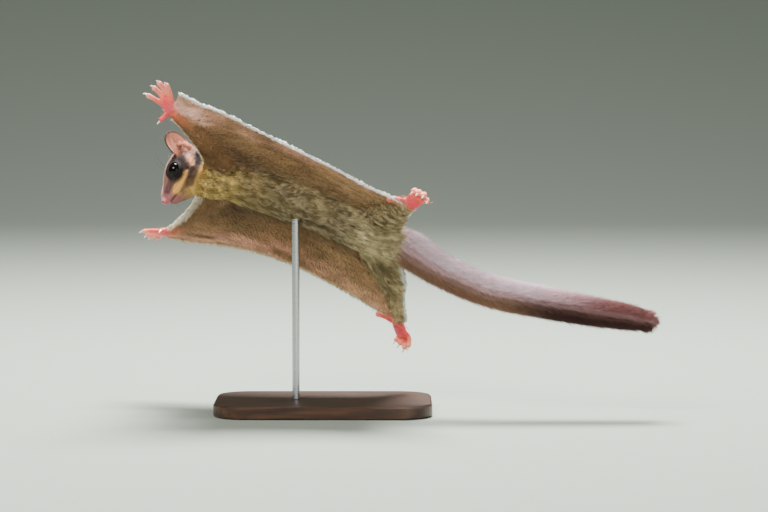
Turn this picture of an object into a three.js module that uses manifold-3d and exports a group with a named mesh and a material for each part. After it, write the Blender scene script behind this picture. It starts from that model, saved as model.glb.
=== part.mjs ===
// A life-size model of a sugar glider in mid glide, held on a small display stand.
// Units are millimetres. The animal is built in its own frame: +X towards the head, +Y its left
// side, +Z its back, with the origin in the middle of the trunk. The outer group then yaws,
// pitches and banks it and lifts it over the stand. In the model's frame +Z is up, and the
// origin is the middle of the base's underside.
import * as THREE from "three";
import { mergeVertices } from "three/addons/utils/BufferGeometryUtils.js";
import Module from "manifold-3d";

const wasm = await Module();
wasm.setup();

const GAP = 0.3; // clearance between neighbouring pieces
const vec = (x, y, z) => new THREE.Vector3(x, y, z);
const DORSAL = vec(0, 0, 1);

// How the animal is held over the base
const FLIGHT = { heading: 172, pitch: 16, bank: 40, height: 140 };

// Trunk and tail
const TRUNK = { rump: -70, neck: 62, width: 38, depth: 29 };
const NECK = { width: 27, depth: 27 };
const TAIL = { length: 186, width: 25, sag: 18 };

// Limb joints, written for the left side and mirrored for the right, which lies a little further
// back in the hind leg. Arms end at the outer corner of the membrane.
const LEFT = {
  arm: [vec(58, 9, 8), vec(73, 42, 1.5), vec(93, 69, -1.5)],
  leg: [vec(-53, 8, 1), vec(-68, 43, -8), vec(-78.5, 67, -18)],
  corner: vec(90.5, 88, 2.5),
};
const RIGHT = {
  arm: [vec(60, 9, 7), vec(75.5, 42, 1), vec(93, 70, -2)],
  leg: [vec(-54, 8, 1), vec(-72, 43, -8), vec(-83.5, 67, -19)],
  corner: vec(98, 84, 2.5),
};
// Widths and depths at shoulder or hip, half way, elbow or knee, half way, wrist or ankle
const ARM = { widths: [26, 18, 13, 9.8, 7.6], depths: [14.5, 10, 8.3, 6.8, 5.8] };
const LEG = { widths: [32, 26, 20, 13.5, 10], depths: [20.5, 16, 13.6, 9.6, 8.2] };

// Gliding membrane: its free edge runs from the outer finger to the ankle, drawn in at the waist
const WING = {
  root: 3.2,
  edge: 1.5,
  billow: 6,
  edgeLine: [
    vec(76, 81, 4),
    vec(60, 77, 5),
    vec(32, 70, 3.6),
    vec(3, 66.5, 0),
    vec(-27, 66, -6),
    vec(-50, 66, -12),
    vec(-68, 68, -16),
  ],
};

// Head, in its own frame: +X to the nose tip, +Y its left, +Z the crown
const HEAD = { width: 26, height: 25 };
const HEAD_AT = vec(85.9, -2, 3.3);
const GAZE = vec(0.334, -0.357, -0.872);
const HEAD_LEFT = vec(0.108, 0.934, -0.341);
const EYE = { at: vec(3.4, 9.4, 2.8), radius: 5.8, rise: 2.7, lid: 1 };
const EAR = { at: vec(-11.5, 7.8, 5.6), height: 20.6, width: 14.6, wall: 1, flare: 22 };

// Claws
const CLAW = { length: 2.8, root: 1.6, point: 0.5 };

// Display stand
const BASE = { length: 150, width: 96, thick: 9, corner: 22, bevel: 1.2, shift: 16 };
const ROD = { radius: 2.6, x: -3, y: -1 };

// A closed mesh as a solid, its faces turned outwards.
function toSolid(geometry) {
  const bare = geometry.clone();
  bare.deleteAttribute("normal");
  bare.deleteAttribute("uv");
  const merged = mergeVertices(bare, 1e-4);
  const points = merged.attributes.position;
  const faces = new Uint32Array(merged.index.array);
  const [a, b, c] = [vec(), vec(), vec()];
  let sixVolumes = 0;
  for (let i = 0; i < faces.length; i += 3) {
    a.fromBufferAttribute(points, faces[i]);
    b.fromBufferAttribute(points, faces[i + 1]);
    c.fromBufferAttribute(points, faces[i + 2]);
    sixVolumes += a.dot(b.cross(c));
  }
  if (sixVolumes < 0)
    for (let i = 0; i < faces.length; i += 3)
      [faces[i + 1], faces[i + 2]] = [faces[i + 2], faces[i + 1]];
  return new wasm.Manifold(
    new wasm.Mesh({ numProp: 3, vertProperties: points.array, triVerts: faces }),
  );
}

// The largest closed surface of a solid.
function largest(solid) {
  return solid.decompose().reduce((a, b) => (b.volume() > a.volume() ? b : a));
}

function without(solid, ...others) {
  return largest(others.reduce((left, other) => left.subtract(other), solid));
}

function join(...solids) {
  return largest(solids.reduce((a, b) => a.add(b)));
}

// A solid as a named mesh.
function piece(name, solid, colour, roughness = 0.9, metalness = 0) {
  const { vertProperties, triVerts } = solid.getMesh();
  const geometry = new THREE.BufferGeometry();
  geometry.setAttribute("position", new THREE.BufferAttribute(vertProperties, 3));
  geometry.setIndex(new THREE.BufferAttribute(triVerts, 1));
  geometry.computeVertexNormals();
  const finish = new THREE.MeshStandardMaterial({ color: colour, roughness, metalness });
  const mesh = new THREE.Mesh(geometry, finish);
  mesh.name = name;
  return mesh;
}

// Reads a curve of numbers, one for each station, at share t of the way along.
function blend(values, t) {
  const line = new THREE.CatmullRomCurve3(values.map((v, i) => vec(i, v, 0)));
  return line.getPoint(THREE.MathUtils.clamp(t, 0, 1)).y;
}

// A rounded tube along a smooth line. stations: [{ at, wide, deep }], wide and deep being full
// widths across and along "up". from and to cut out a stretch; a domed end swells past its
// station, and a flat one stops there. grow widens the tube all round.
function tube(stations, options = {}, grow = 0) {
  const { steps = 10, sides = 14, up = DORSAL, from = 0, to = 1, tip = [1, 1] } = options;
  const line = new THREE.CatmullRomCurve3(stations.map((s) => s.at));
  const wide = stations.map((s) => s.wide);
  const deep = stations.map((s) => s.deep);
  const ring = (t, shrink, push) => {
    const ahead = line.getTangent(t);
    const across = up.clone().cross(ahead).normalize();
    const rise = ahead.clone().cross(across);
    const middle = line.getPoint(t).addScaledVector(ahead, push);
    const halfWide = (blend(wide, t) / 2 + grow) * shrink;
    const halfDeep = (blend(deep, t) / 2 + grow) * shrink;
    return Array.from({ length: sides }, (_, i) => {
      const turn = (2 * Math.PI * i) / sides;
      return middle
        .clone()
        .addScaledVector(across, halfWide * Math.cos(turn))
        .addScaledVector(rise, halfDeep * Math.sin(turn));
    });
  };
  const domeRings = [Math.PI / 6, Math.PI / 3];
  const bulge = (t) => Math.min(blend(wide, t), blend(deep, t)) / 2 + grow;
  const rings = [];
  const ends = [];
  const endTangent = (t, sign) => line.getTangent(t).multiplyScalar(sign);
  if (tip[0]) {
    ends[0] = line.getPoint(from).addScaledVector(endTangent(from, -1), bulge(from) * tip[0]);
    for (const angle of [...domeRings].reverse())
      rings.push(ring(from, Math.cos(angle), -bulge(from) * tip[0] * Math.sin(angle)));
  } else ends[0] = line.getPoint(from);
  for (let i = 0; i <= steps; i++) rings.push(ring(from + ((to - from) * i) / steps, 1, 0));
  if (tip[1]) {
    ends[1] = line.getPoint(to).addScaledVector(endTangent(to, 1), bulge(to) * tip[1]);
    for (const angle of domeRings)
      rings.push(ring(to, Math.cos(angle), bulge(to) * tip[1] * Math.sin(angle)));
  } else ends[1] = line.getPoint(to);
  return toSolid(skinOver(rings, ends));
}

// Joins rings of points into one closed surface, with a fan at each end.
function skinOver(rings, ends) {
  const sides = rings[0].length;
  const points = [ends[0], ...rings.flat(), ends[1]];
  const faces = [];
  const at = (ring, side) => 1 + ring * sides + (side % sides);
  for (let i = 0; i < sides; i++) {
    faces.push(0, at(0, i + 1), at(0, i));
    faces.push(points.length - 1, at(rings.length - 1, i), at(rings.length - 1, i + 1));
    for (let r = 0; r + 1 < rings.length; r++) {
      faces.push(at(r, i), at(r, i + 1), at(r + 1, i));
      faces.push(at(r + 1, i), at(r, i + 1), at(r + 1, i + 1));
    }
  }
  return new THREE.BufferGeometry().setFromPoints(points).setIndex(faces);
}

// A curved sheet of varying thickness. place(u, v) is its middle surface and thick(u, v) its
// thickness; both faces are split into triangles alike.
function sheet(place, thick, across, along) {
  const step = 1e-3;
  const faces = [];
  const points = [];
  const side = (sign) => {
    for (let i = 0; i <= across; i++)
      for (let j = 0; j <= along; j++) {
        const [u, v] = [i / across, j / along];
        const [u0, v0] = [Math.min(u, 1 - step), Math.min(v, 1 - step)];
        const here = place(u0, v0);
        const alongU = place(u0 + step, v0).sub(here);
        const alongV = place(u0, v0 + step).sub(here);
        const out = alongU.cross(alongV).normalize();
        points.push(place(u, v).addScaledVector(out, (sign * thick(u, v)) / 2));
      }
  };
  side(1);
  side(-1);
  const under = (across + 1) * (along + 1);
  const at = (i, j) => i * (along + 1) + j;
  for (let i = 0; i < across; i++)
    for (let j = 0; j < along; j++) {
      const [a, b, c, d] = [at(i, j), at(i + 1, j), at(i + 1, j + 1), at(i, j + 1)];
      faces.push(a, b, c, a, c, d);
      faces.push(under + a, under + c, under + b, under + a, under + d, under + c);
    }
  const rim = [];
  for (let i = 0; i < across; i++) rim.push(at(i, 0));
  for (let j = 0; j < along; j++) rim.push(at(across, j));
  for (let i = across; i > 0; i--) rim.push(at(i, along));
  for (let j = along; j > 0; j--) rim.push(at(0, j));
  rim.forEach((a, i) => {
    const b = rim[(i + 1) % rim.length];
    faces.push(a, under + b, b, a, under + a, under + b);
  });
  return toSolid(new THREE.BufferGeometry().setFromPoints(points).setIndex(faces));
}

const mirrored = (point, side) => vec(point.x, point.y * side, point.z);

// Trunk: a flattened barrel, widest at chest and haunches, a little arched along the back
const trunkStations = [
  { share: 0, z: -3, wide: 0.66, deep: 0.76 },
  { share: 0.14, z: 0, wide: 1.0, deep: 0.98 },
  { share: 0.36, z: 4.5, wide: 0.94, deep: 0.98 },
  { share: 0.6, z: 8.5, wide: 1.0, deep: 1.04 },
  { share: 0.82, z: 9, wide: 0.94, deep: 1.0 },
  { share: 1, z: 6, wide: 0.72, deep: 0.86 },
].map(({ share, z, wide, deep }) => ({
  at: vec(THREE.MathUtils.lerp(TRUNK.rump, TRUNK.neck, share), 0, z),
  wide: TRUNK.width * wide,
  deep: TRUNK.depth * deep,
}));
const trunk = (grow) => tube(trunkStations, { steps: 18, sides: 20, tip: [0.7, 0.6] }, grow);

// Neck: from inside the chest up into the back of the head
const neckStations = [
  { at: vec(54, 0, 7), wide: NECK.width, deep: NECK.depth },
  { at: vec(69, -0.5, 3.6), wide: NECK.width, deep: NECK.depth * 1.12 },
  { at: HEAD_AT.clone().add(vec(-3, 1.5, 3)), wide: NECK.width * 0.84, deep: NECK.depth * 0.84 },
];
const neck = (grow) => tube(neckStations, { steps: 5, sides: 18, tip: [0.6, 0.4] }, grow);

// Tail: leaves the rump, sags a little and lifts again towards its rounded tip
const tailStations = [
  { share: 0, drop: 0.02, wide: 0.92 },
  { share: 0.1, drop: 0.34, wide: 1.02 },
  { share: 0.24, drop: 0.82, wide: 0.92 },
  { share: 0.42, drop: 1.08, wide: 0.88 },
  { share: 0.62, drop: 0.88, wide: 0.86 },
  { share: 0.8, drop: 0.64, wide: 0.8 },
  { share: 0.93, drop: 0.42, wide: 0.7 },
  { share: 1, drop: 0.34, wide: 0.52 },
].map(({ share, drop, wide }) => ({
  at: vec(TRUNK.rump + 6 - share * TAIL.length, 0, -drop * TAIL.sag),
  wide: TAIL.width * wide,
  deep: TAIL.width * wide,
}));
const tailLengths = [
  { name: "tail_root", from: 0, to: 0.36, tip: [0.5, 0] },
  { name: "tail_middle", from: 0.36, to: 0.7, tip: [0, 0] },
  { name: "tail_tip", from: 0.7, to: 1, tip: [0, 0.9] },
];
const cutShare = GAP / 2 / TAIL.length; // half a gap, as a share of the tail

function tailLength({ from, to, tip }) {
  const start = tip[0] ? from : from + cutShare;
  const stop = tip[1] ? to : to - cutShare;
  return tube(tailStations, { steps: 9, sides: 16, from: start, to: stop, tip });
}

// Limbs: a tube from joint to joint, flattened in the plane of the membrane
const joints = (side) => (side > 0 ? LEFT : RIGHT);

function limbStations(kind, side) {
  const [top, bend, foot] = joints(side)[kind].map((point) => mirrored(point, side));
  const widths = kind === "arm" ? ARM.widths : LEG.widths;
  const depths = kind === "arm" ? ARM.depths : LEG.depths;
  const places = [top, top.clone().lerp(bend, 0.5), bend, bend.clone().lerp(foot, 0.5), foot];
  return places.map((at, i) => ({ at, wide: widths[i], deep: depths[i] }));
}
const JOINT_SHARE = 0.5; // elbow and knee sit half way along the limb's line
const limbCut = 0.0022; // half a gap, as a share of a limb

function limbPart(kind, side, half, grow = 0) {
  const upper = half === "upper";
  const [from, to] = upper ? [0, JOINT_SHARE - limbCut] : [JOINT_SHARE + limbCut, 1];
  const tip = upper ? [0.7, 0] : [0, 0.5];
  const reach = grow ? limbCut * 2 : 0; // a grown half also closes the cut at the joint
  return tube(
    limbStations(kind, side),
    { steps: 6, sides: 12, from: upper ? from : from - reach, to: upper ? to + reach : to, tip },
    grow,
  );
}

// A hand or foot is a flat pad with five digits. Each digit is a bent, tapering tube with a pad
// under its tip. along and across place its root on the pad, as shares of the pad's length and
// half width. fan turns it in the pad's plane, a negative turn being to the inner side, and each
// foot has its own for the great toe. curl is how far it bends to the sole, and reach its length.
const HAND = {
  pad: { length: 12.5, width: 10, thick: 4.6 },
  palm: vec(-0.05, 0.3, -0.92),
  digit: { thick: 3, tip: 3.4 },
  digits: [
    { name: "thumb", along: 0.08, across: -0.5, fan: -114, curl: 16, reach: 8 },
    { name: "index", along: 0.56, across: -0.6, fan: -36, curl: 6, reach: 13.5 },
    { name: "middle", along: 0.86, across: -0.3, fan: -11, curl: 14, reach: 13 },
    { name: "ring", along: 0.88, across: 0.2, fan: 1, curl: 14, reach: 15.5 },
    { name: "little", along: 0.8, across: 0.62, fan: 10, curl: 14, reach: 14 },
  ],
};
const FOOT = {
  pad: { length: 15, width: 10.5, thick: 5.4 },
  palm: vec(0.3, 0.02, -0.92),
  digit: { thick: 3.1, tip: 3.7 },
  clawless: "great",
  digits: [
    { name: "great", along: 0.24, across: -0.5, curl: 4, reach: 14.5, stout: 1.25 },
    { name: "second", along: 0.84, across: -0.68, fan: -10, curl: 44, reach: 8.5 },
    { name: "third", along: 0.92, across: -0.24, fan: -3, curl: 42, reach: 9.5 },
    { name: "fourth", along: 0.92, across: 0.24, fan: 5, curl: 36, reach: 12 },
    { name: "fifth", along: 0.8, across: 0.72, fan: 15, curl: 32, reach: 11 },
  ],
};
const LIMB_ENDS = {
  hand_left: { ...HAND, at: LEFT.arm[2], side: 1, ahead: vec(0.5, 0.84, 0.24) },
  hand_right: { ...HAND, at: RIGHT.arm[2], side: -1, ahead: vec(0.66, 0.7, 0.2) },
  foot_left: { ...FOOT, at: LEFT.leg[2], side: 1, ahead: vec(-0.36, 0.86, 0.02), greatFan: -138 },
  foot_right: {
    ...FOOT,
    at: vec(-80.5, 67, -19),
    side: -1,
    ahead: vec(-0.43, 0.86, -0.24),
    greatFan: -106,
  },
};
LIMB_ENDS.hand_right.palm = vec(-0.12, 0.5, -0.84); // turned almost edge on

// The frame of a hand or foot: which way it points, which way its sole faces, and its width.
function limbEndFrame({ at, side, ahead, palm }) {
  const forward = mirrored(ahead, side).normalize();
  const sole = mirrored(palm, side);
  sole.addScaledVector(forward, -sole.dot(forward)).normalize();
  const across = forward.clone().cross(sole).multiplyScalar(side);
  return { at: mirrored(at, side), forward, across, sole };
}

function digitLine(frame, { pad, greatFan }, { along, across, fan = greatFan, curl, reach }) {
  const turn = THREE.MathUtils.degToRad(fan);
  const bend = THREE.MathUtils.degToRad(curl);
  const root = frame.at
    .clone()
    .addScaledVector(frame.forward, pad.length * along)
    .addScaledVector(frame.across, (pad.width / 2) * across);
  const level = frame.forward
    .clone()
    .multiplyScalar(Math.cos(turn))
    .addScaledVector(frame.across, Math.sin(turn));
  const points = [root];
  const joints = [
    { share: 0.36, angle: -0.5 * bend },
    { share: 0.34, angle: 0.6 * bend },
    { share: 0.3, angle: 1.7 * bend },
  ];
  let heading = level;
  for (const { share, angle } of joints) {
    heading = level
      .clone()
      .multiplyScalar(Math.cos(angle))
      .addScaledVector(frame.sole, Math.sin(angle));
    points.push(points.at(-1).clone().addScaledVector(heading, reach * share));
  }
  return { points, heading };
}

function digitSolid(frame, end, digit, grow) {
  const { points } = digitLine(frame, end, digit);
  const { stout = 1 } = digit;
  const [thick, tip] = [end.digit.thick * stout, end.digit.tip * stout];
  const widths = [thick * 1.1, thick, thick * 0.9, tip];
  const stations = points.map((at, i) => ({ at, wide: widths[i], deep: widths[i] * 0.92 }));
  return tube(stations, { steps: 5, sides: 7, up: frame.sole, tip: [0, 0.7] }, grow);
}

function limbEnd(end, grow = 0) {
  const frame = limbEndFrame(end);
  const { length, width, thick } = end.pad;
  const along = (share) => frame.at.clone().addScaledVector(frame.forward, length * share);
  const pad = tube(
    [
      { at: along(-0.1), wide: width * 0.62, deep: thick },
      { at: along(0.45), wide: width * 0.92, deep: thick * 1.05 },
      { at: along(1), wide: width, deep: thick * 0.86 },
    ],
    { steps: 4, sides: 10, up: frame.sole, tip: [0.4, 0.5] },
    grow,
  );
  return join(pad, ...end.digits.map((digit) => digitSolid(frame, end, digit, grow)));
}

// A claw: a thin hooked cone, rooted on the tip of its digit and curving to the palm.
function clawSolid(frame, end, digit) {
  const { points, heading } = digitLine(frame, end, digit);
  const root = points.at(-1).clone().addScaledVector(heading, end.digit.tip * 0.2);
  root.addScaledVector(frame.sole, -end.digit.tip * 0.14);
  const hook = frame.sole.clone().addScaledVector(heading, 0.25).normalize();
  const stations = [
    { at: root, wide: CLAW.root, deep: CLAW.root * 1.25 },
    {
      at: root.clone().addScaledVector(heading, CLAW.length * 0.6).addScaledVector(hook, 0.25),
      wide: CLAW.root * 0.74,
      deep: CLAW.root,
    },
    {
      at: root.clone().addScaledVector(heading, CLAW.length).addScaledVector(hook, 1.3),
      wide: CLAW.point,
      deep: CLAW.point,
    },
  ];
  return tube(stations, { steps: 3, sides: 5, up: frame.sole, tip: [0, 0] });
}

// Membrane: a patch stretched between four lines, which are the trunk's flank, the arm with the
// outer finger, the leg, and the free edge. It billows towards the back in between.
const smooth = (points, side) => new THREE.CatmullRomCurve3(points.map((p) => mirrored(p, side)));

function membrane(side) {
  const own = joints(side);
  const edge = smooth([own.corner, ...WING.edgeLine, own.leg[2]], side);
  const flank = smooth([own.arm[0], vec(20, 12, 7.5), vec(-18, 12, 4), own.leg[0]], side);
  const arm = smooth([...own.arm, own.corner], side);
  const leg = smooth(own.leg, side);
  const place = (u, v) => {
    const ruled = flank.getPoint(u).lerp(edge.getPoint(u), v);
    const across = arm.getPoint(v).lerp(leg.getPoint(v), u);
    const inner = flank.getPoint(0).lerp(flank.getPoint(1), u);
    const outer = edge.getPoint(0).lerp(edge.getPoint(1), u);
    const point = ruled.add(across).sub(inner.lerp(outer, v));
    point.z += WING.billow * Math.sin(Math.PI * v) * Math.sin(Math.PI * u);
    return point;
  };
  const thick = (u, v) => THREE.MathUtils.lerp(WING.root, WING.edge, Math.sqrt(v));
  return sheet(place, thick, 21, 8);
}

// Head: a short broad skull, a tapering muzzle, a lower jaw that leaves the mouth line, lids
// round the eyes and a bare nose with two nostrils.
const headFrame = new THREE.Matrix4().makeBasis(
  GAZE.clone().normalize(),
  HEAD_LEFT.clone().normalize(),
  GAZE.clone().cross(HEAD_LEFT).normalize(),
);
const onHead = (point) => point.clone().applyMatrix4(headFrame).add(HEAD_AT);
const headAlong = (x, y, z) => vec(x, y, z).applyMatrix4(headFrame);
const crown = headAlong(0, 0, 1);

const skullStations = [
  { x: -12.5, z: 0.5, wide: 0.7, deep: 0.74 },
  { x: -7, z: 1.2, wide: 0.94, deep: 0.98 },
  { x: 0, z: 1.2, wide: 1.03, deep: 0.97 },
  { x: 6, z: 0.6, wide: 0.94, deep: 0.86 },
  { x: 12, z: -0.4, wide: 0.66, deep: 0.67 },
  { x: 17.5, z: -1.2, wide: 0.45, deep: 0.5 },
  { x: 21.6, z: -1.8, wide: 0.32, deep: 0.36 },
].map(({ x, z, wide, deep }) => ({
  at: onHead(vec(x, 0, z)),
  wide: HEAD.width * wide,
  deep: HEAD.height * deep,
}));
const skull = (grow) =>
  tube(skullStations, { steps: 14, sides: 20, up: crown, tip: [0.7, 0.7] }, grow);

const jawStations = [
  { x: -2, z: -9.4, wide: 0.74, deep: 0.62 },
  { x: 7, z: -9.4, wide: 0.62, deep: 0.54 },
  { x: 14.5, z: -7.7, wide: 0.42, deep: 0.38 },
  { x: 19.4, z: -6.6, wide: 0.26, deep: 0.24 },
].map(({ x, z, wide, deep }) => ({
  at: onHead(vec(x, 0, z)),
  wide: HEAD.width * wide,
  deep: HEAD.height * deep,
}));

function ball(centre, radius, stretch = vec(1, 1, 1), detail = 12) {
  const geometry = new THREE.SphereGeometry(radius, detail, Math.round(detail * 0.7));
  geometry.scale(stretch.x, stretch.y, stretch.z);
  geometry.applyMatrix4(headFrame);
  geometry.translate(...onHead(centre).toArray());
  return toSolid(geometry);
}

const eyeCentre = (side) => vec(EYE.at.x, EYE.at.y * side, EYE.at.z);
const NOSTRIL = { at: vec(24.7, 1.6, -1.6), radius: 0.62 };

// The lids: a thin shell over the eyeball, cut open to the side and a little forward
function lids(side) {
  const outward = headAlong(0.42, side * 0.84, 0.34).normalize();
  const shell = ball(eyeCentre(side), EYE.radius + EYE.lid, vec(1, 1, 1), 16);
  const opening = onHead(eyeCentre(side)).dot(outward) + EYE.rise;
  return shell.trimByPlane(outward.clone().negate().toArray(), -opening);
}

const jaw = (grow) => tube(jawStations, { steps: 5, sides: 12, up: crown, tip: [0.5, 0.7] }, grow);

function buildHead() {
  const nose = ball(vec(22.9, 0, -1.8), 3, vec(0.86, 1.1, 0.96));
  const lips = [1, -1].map((side) => ball(vec(18.4, 2.6 * side, -3.9), 2.8, vec(1.5, 0.95, 0.78)));
  let head = join(skull(0), jaw(0), nose, ...lips, lids(1), lids(-1));
  for (const side of [1, -1]) {
    head = head.subtract(ball(eyeCentre(side), EYE.radius + GAP, vec(1, 1, 1), 14));
    const nostril = vec(NOSTRIL.at.x, NOSTRIL.at.y * side, NOSTRIL.at.z);
    head = head.subtract(ball(nostril, NOSTRIL.radius, vec(1.6, 1, 0.8), 8));
  }
  return head;
}

// Ear: a thin upright cup that opens sideways and rolls shut at its foot
function ear(side) {
  const lean = THREE.MathUtils.degToRad(EAR.flare);
  const rise = headAlong(-0.1, side * Math.sin(lean), Math.cos(lean)).normalize();
  const front = headAlong(0.9, side * 0.42, 0.06);
  front.addScaledVector(rise, -front.dot(rise)).normalize();
  const open = rise.clone().cross(front).normalize();
  if (open.dot(headAlong(0, side, 0)) < 0) open.negate();
  const foot = onHead(vec(EAR.at.x, EAR.at.y * side, EAR.at.z));
  const place = (u, v) => {
    const up = 1 - (1 - u) ** 1.5; // rows crowd towards the rounded tip
    const lower = 0.62 + 0.38 * Math.sin(Math.PI * Math.min(up, 0.5));
    const upper = Math.max(1 - Math.max(2 * up - 1, 0) ** 2.6, 0.02) ** 0.5;
    const half = (EAR.width / 2) * lower * upper;
    const roll = THREE.MathUtils.lerp(2, 0.5, Math.sqrt(up)); // how far the cup wraps round
    const angle = (v - 0.5) * 2 * roll;
    const radius = half / Math.sin(Math.min(roll, Math.PI / 2));
    return foot
      .clone()
      .addScaledVector(rise, EAR.height * up - 2)
      .addScaledVector(front, radius * Math.sin(angle))
      .addScaledVector(open, radius * (Math.cos(roll) - Math.cos(angle)) + 1.2 * up * up);
  };
  return sheet(place, () => EAR.wall, 8, 8);
}

// Stand
function base() {
  const [halfLength, halfWidth] = [BASE.length / 2 - BASE.bevel, BASE.width / 2 - BASE.bevel];
  const outline = new THREE.Shape();
  outline.moveTo(-halfLength + BASE.corner, -halfWidth);
  outline.lineTo(halfLength - BASE.corner, -halfWidth);
  outline.absarc(halfLength - BASE.corner, -halfWidth + BASE.corner, BASE.corner, -Math.PI / 2, 0);
  outline.absarc(halfLength - BASE.corner, halfWidth - BASE.corner, BASE.corner, 0, Math.PI / 2);
  const left = -halfLength + BASE.corner;
  outline.absarc(left, halfWidth - BASE.corner, BASE.corner, Math.PI / 2, Math.PI);
  outline.absarc(left, -halfWidth + BASE.corner, BASE.corner, Math.PI, 1.5 * Math.PI);
  const geometry = new THREE.ExtrudeGeometry(outline, {
    depth: BASE.thick - 2 * BASE.bevel,
    bevelThickness: BASE.bevel,
    bevelSize: BASE.bevel,
    bevelSegments: 1,
    curveSegments: 7,
  });
  geometry.translate(0, 0, BASE.bevel);
  return toSolid(geometry);
}

function cylinder(radius, low, high, x, y) {
  const geometry = new THREE.CylinderGeometry(radius, radius, high - low, 20);
  geometry.rotateX(Math.PI / 2);
  geometry.translate(x, y, (low + high) / 2);
  return toSolid(geometry);
}

// Flight group: animal frame to model frame
const flight = new THREE.Group();
const radians = THREE.MathUtils.degToRad;
flight.rotation.set(radians(FLIGHT.bank), radians(-FLIGHT.pitch), radians(FLIGHT.heading), "ZYX");
flight.position.set(-BASE.shift, 0, FLIGHT.height);
flight.updateMatrixWorld(true);

// The rod stands upright in the model's frame and ends in a socket in the belly
const rodX = ROD.x - BASE.shift;
const rodTop = new THREE.Vector3(ROD.x, ROD.y, FLIGHT.height - 6);
const socketTop = rodTop.z + GAP;
const toAnimal = flight.matrixWorld.clone().invert();
const socket = cylinder(ROD.radius + GAP, FLIGHT.height - 60, socketTop, rodX, ROD.y).transform(
  toAnimal.elements,
);

const FUR = { back: 0x8f857c, belly: 0xa49a82, membrane: 0x8a7566, tail: 0x9c8583 };
const SKIN = { pink: 0xe08c84, ear: 0xa87468 };
const grown = {};
const add = (group, name, solid, ...finish) => group.add(piece(name, solid, ...finish));

const torso = without(trunk(0), socket);
const torsoWide = trunk(GAP);
add(flight, "torso", torso, FUR.belly);

const skullWide = skull(GAP).add(jaw(GAP));
add(flight, "neck", without(neck(0), torsoWide, skullWide), FUR.belly);
const neckWide = neck(GAP);

add(flight, "head", without(buildHead(), torsoWide), FUR.back);
for (const [side, word] of [
  [1, "left"],
  [-1, "right"],
]) {
  add(flight, "eye_" + word, ball(eyeCentre(side), EYE.radius, vec(1, 1, 1), 14), 0x0b0908, 0.05);
  const earSolid = without(ear(side), skullWide, neckWide);
  add(flight, "ear_" + word, earSolid, SKIN.ear, 0.7);
}

tailLengths.forEach((length, i) => {
  const solid = i ? tailLength(length) : without(tailLength(length), torsoWide);
  add(flight, length.name, solid, FUR.tail);
});
const tailRootWide = tube(tailStations, { steps: 9, sides: 16, to: 0.36, tip: [0.5, 0] }, GAP);

for (const [side, word] of [
  [1, "left"],
  [-1, "right"],
]) {
  const parts = [];
  for (const [kind, upperName, lowerName] of [
    ["arm", "upper_arm_", "forearm_"],
    ["leg", "thigh_", "shank_"],
  ]) {
    const blockers = kind === "arm" ? [torsoWide, neckWide, skullWide] : [torsoWide, tailRootWide];
    add(flight, upperName + word, without(limbPart(kind, side, "upper"), ...blockers), FUR.belly);
    add(flight, lowerName + word, limbPart(kind, side, "lower"), FUR.belly);
    parts.push(limbPart(kind, side, "upper", GAP), limbPart(kind, side, "lower", GAP));
  }
  for (const endName of ["hand_" + word, "foot_" + word]) {
    const end = LIMB_ENDS[endName];
    const frame = limbEndFrame(end);
    add(flight, endName, without(limbEnd(end), ...parts), SKIN.pink, 0.6);
    const wide = limbEnd(end, GAP);
    grown[endName] = wide;
    end.digits.forEach((digit) => {
      if (digit.name === end.clawless) return;
      const name = `claw_${endName}_${digit.name}`;
      add(flight, name, without(clawSolid(frame, end, digit), wide), 0xe8ded0, 0.35);
    });
  }
  const blockers = [torsoWide, neckWide, ...parts, grown["hand_" + word], grown["foot_" + word]];
  add(flight, "membrane_" + word, without(membrane(side), ...blockers), FUR.membrane);
}

const glider = new THREE.Group();
glider.add(flight);
add(glider, "stand_base", base(), 0x3a2c22, 0.45);
const rod = cylinder(ROD.radius, BASE.thick + GAP, rodTop.z, rodX, ROD.y);
add(glider, "stand_rod", rod, 0xb8b8ba, 0.3, 0.9);

export default glider;
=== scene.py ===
import math

import bpy
import numpy as np
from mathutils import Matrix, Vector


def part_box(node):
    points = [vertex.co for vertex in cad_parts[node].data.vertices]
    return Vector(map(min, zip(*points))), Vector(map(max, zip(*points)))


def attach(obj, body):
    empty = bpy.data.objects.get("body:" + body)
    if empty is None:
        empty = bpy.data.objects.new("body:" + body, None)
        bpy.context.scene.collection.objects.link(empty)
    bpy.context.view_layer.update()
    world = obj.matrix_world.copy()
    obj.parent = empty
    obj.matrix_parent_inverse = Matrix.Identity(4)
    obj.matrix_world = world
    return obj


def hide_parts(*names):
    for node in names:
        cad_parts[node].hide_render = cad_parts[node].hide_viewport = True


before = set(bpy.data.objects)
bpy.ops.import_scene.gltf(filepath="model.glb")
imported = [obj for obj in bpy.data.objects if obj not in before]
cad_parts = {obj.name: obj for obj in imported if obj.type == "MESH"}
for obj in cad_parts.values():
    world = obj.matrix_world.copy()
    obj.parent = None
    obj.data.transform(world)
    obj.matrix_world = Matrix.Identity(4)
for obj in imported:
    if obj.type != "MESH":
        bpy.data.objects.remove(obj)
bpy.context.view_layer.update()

import openvdb
from mathutils import Euler, Vector, kdtree

# The base of the stand: a rounded block of dark, close-grained hardwood under a satin oil finish.
# It keeps the solid's own mesh. Long fibres run with the block, and the pores between them
# are a slight bump.


def paint(red, green, blue):
    """A colour as it is read off a chart, in 0 to 255, as the linear values that a shader takes."""
    chart = np.array((red, green, blue)) / 255
    return tuple(np.where(chart <= 0.04045, chart / 12.92, ((chart + 0.055) / 1.055) ** 2.4)) + (1.0,)


def feed(tree, node, values):
    """Gives a node its plain properties, and each named socket a value or what another node sends."""
    for name, value in values.items():
        if isinstance(value, bpy.types.NodeSocket):
            tree.links.new(value, node.inputs[name])
        elif name in node.inputs:
            node.inputs[name].default_value = value
        else:
            setattr(node, name, value)


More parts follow.
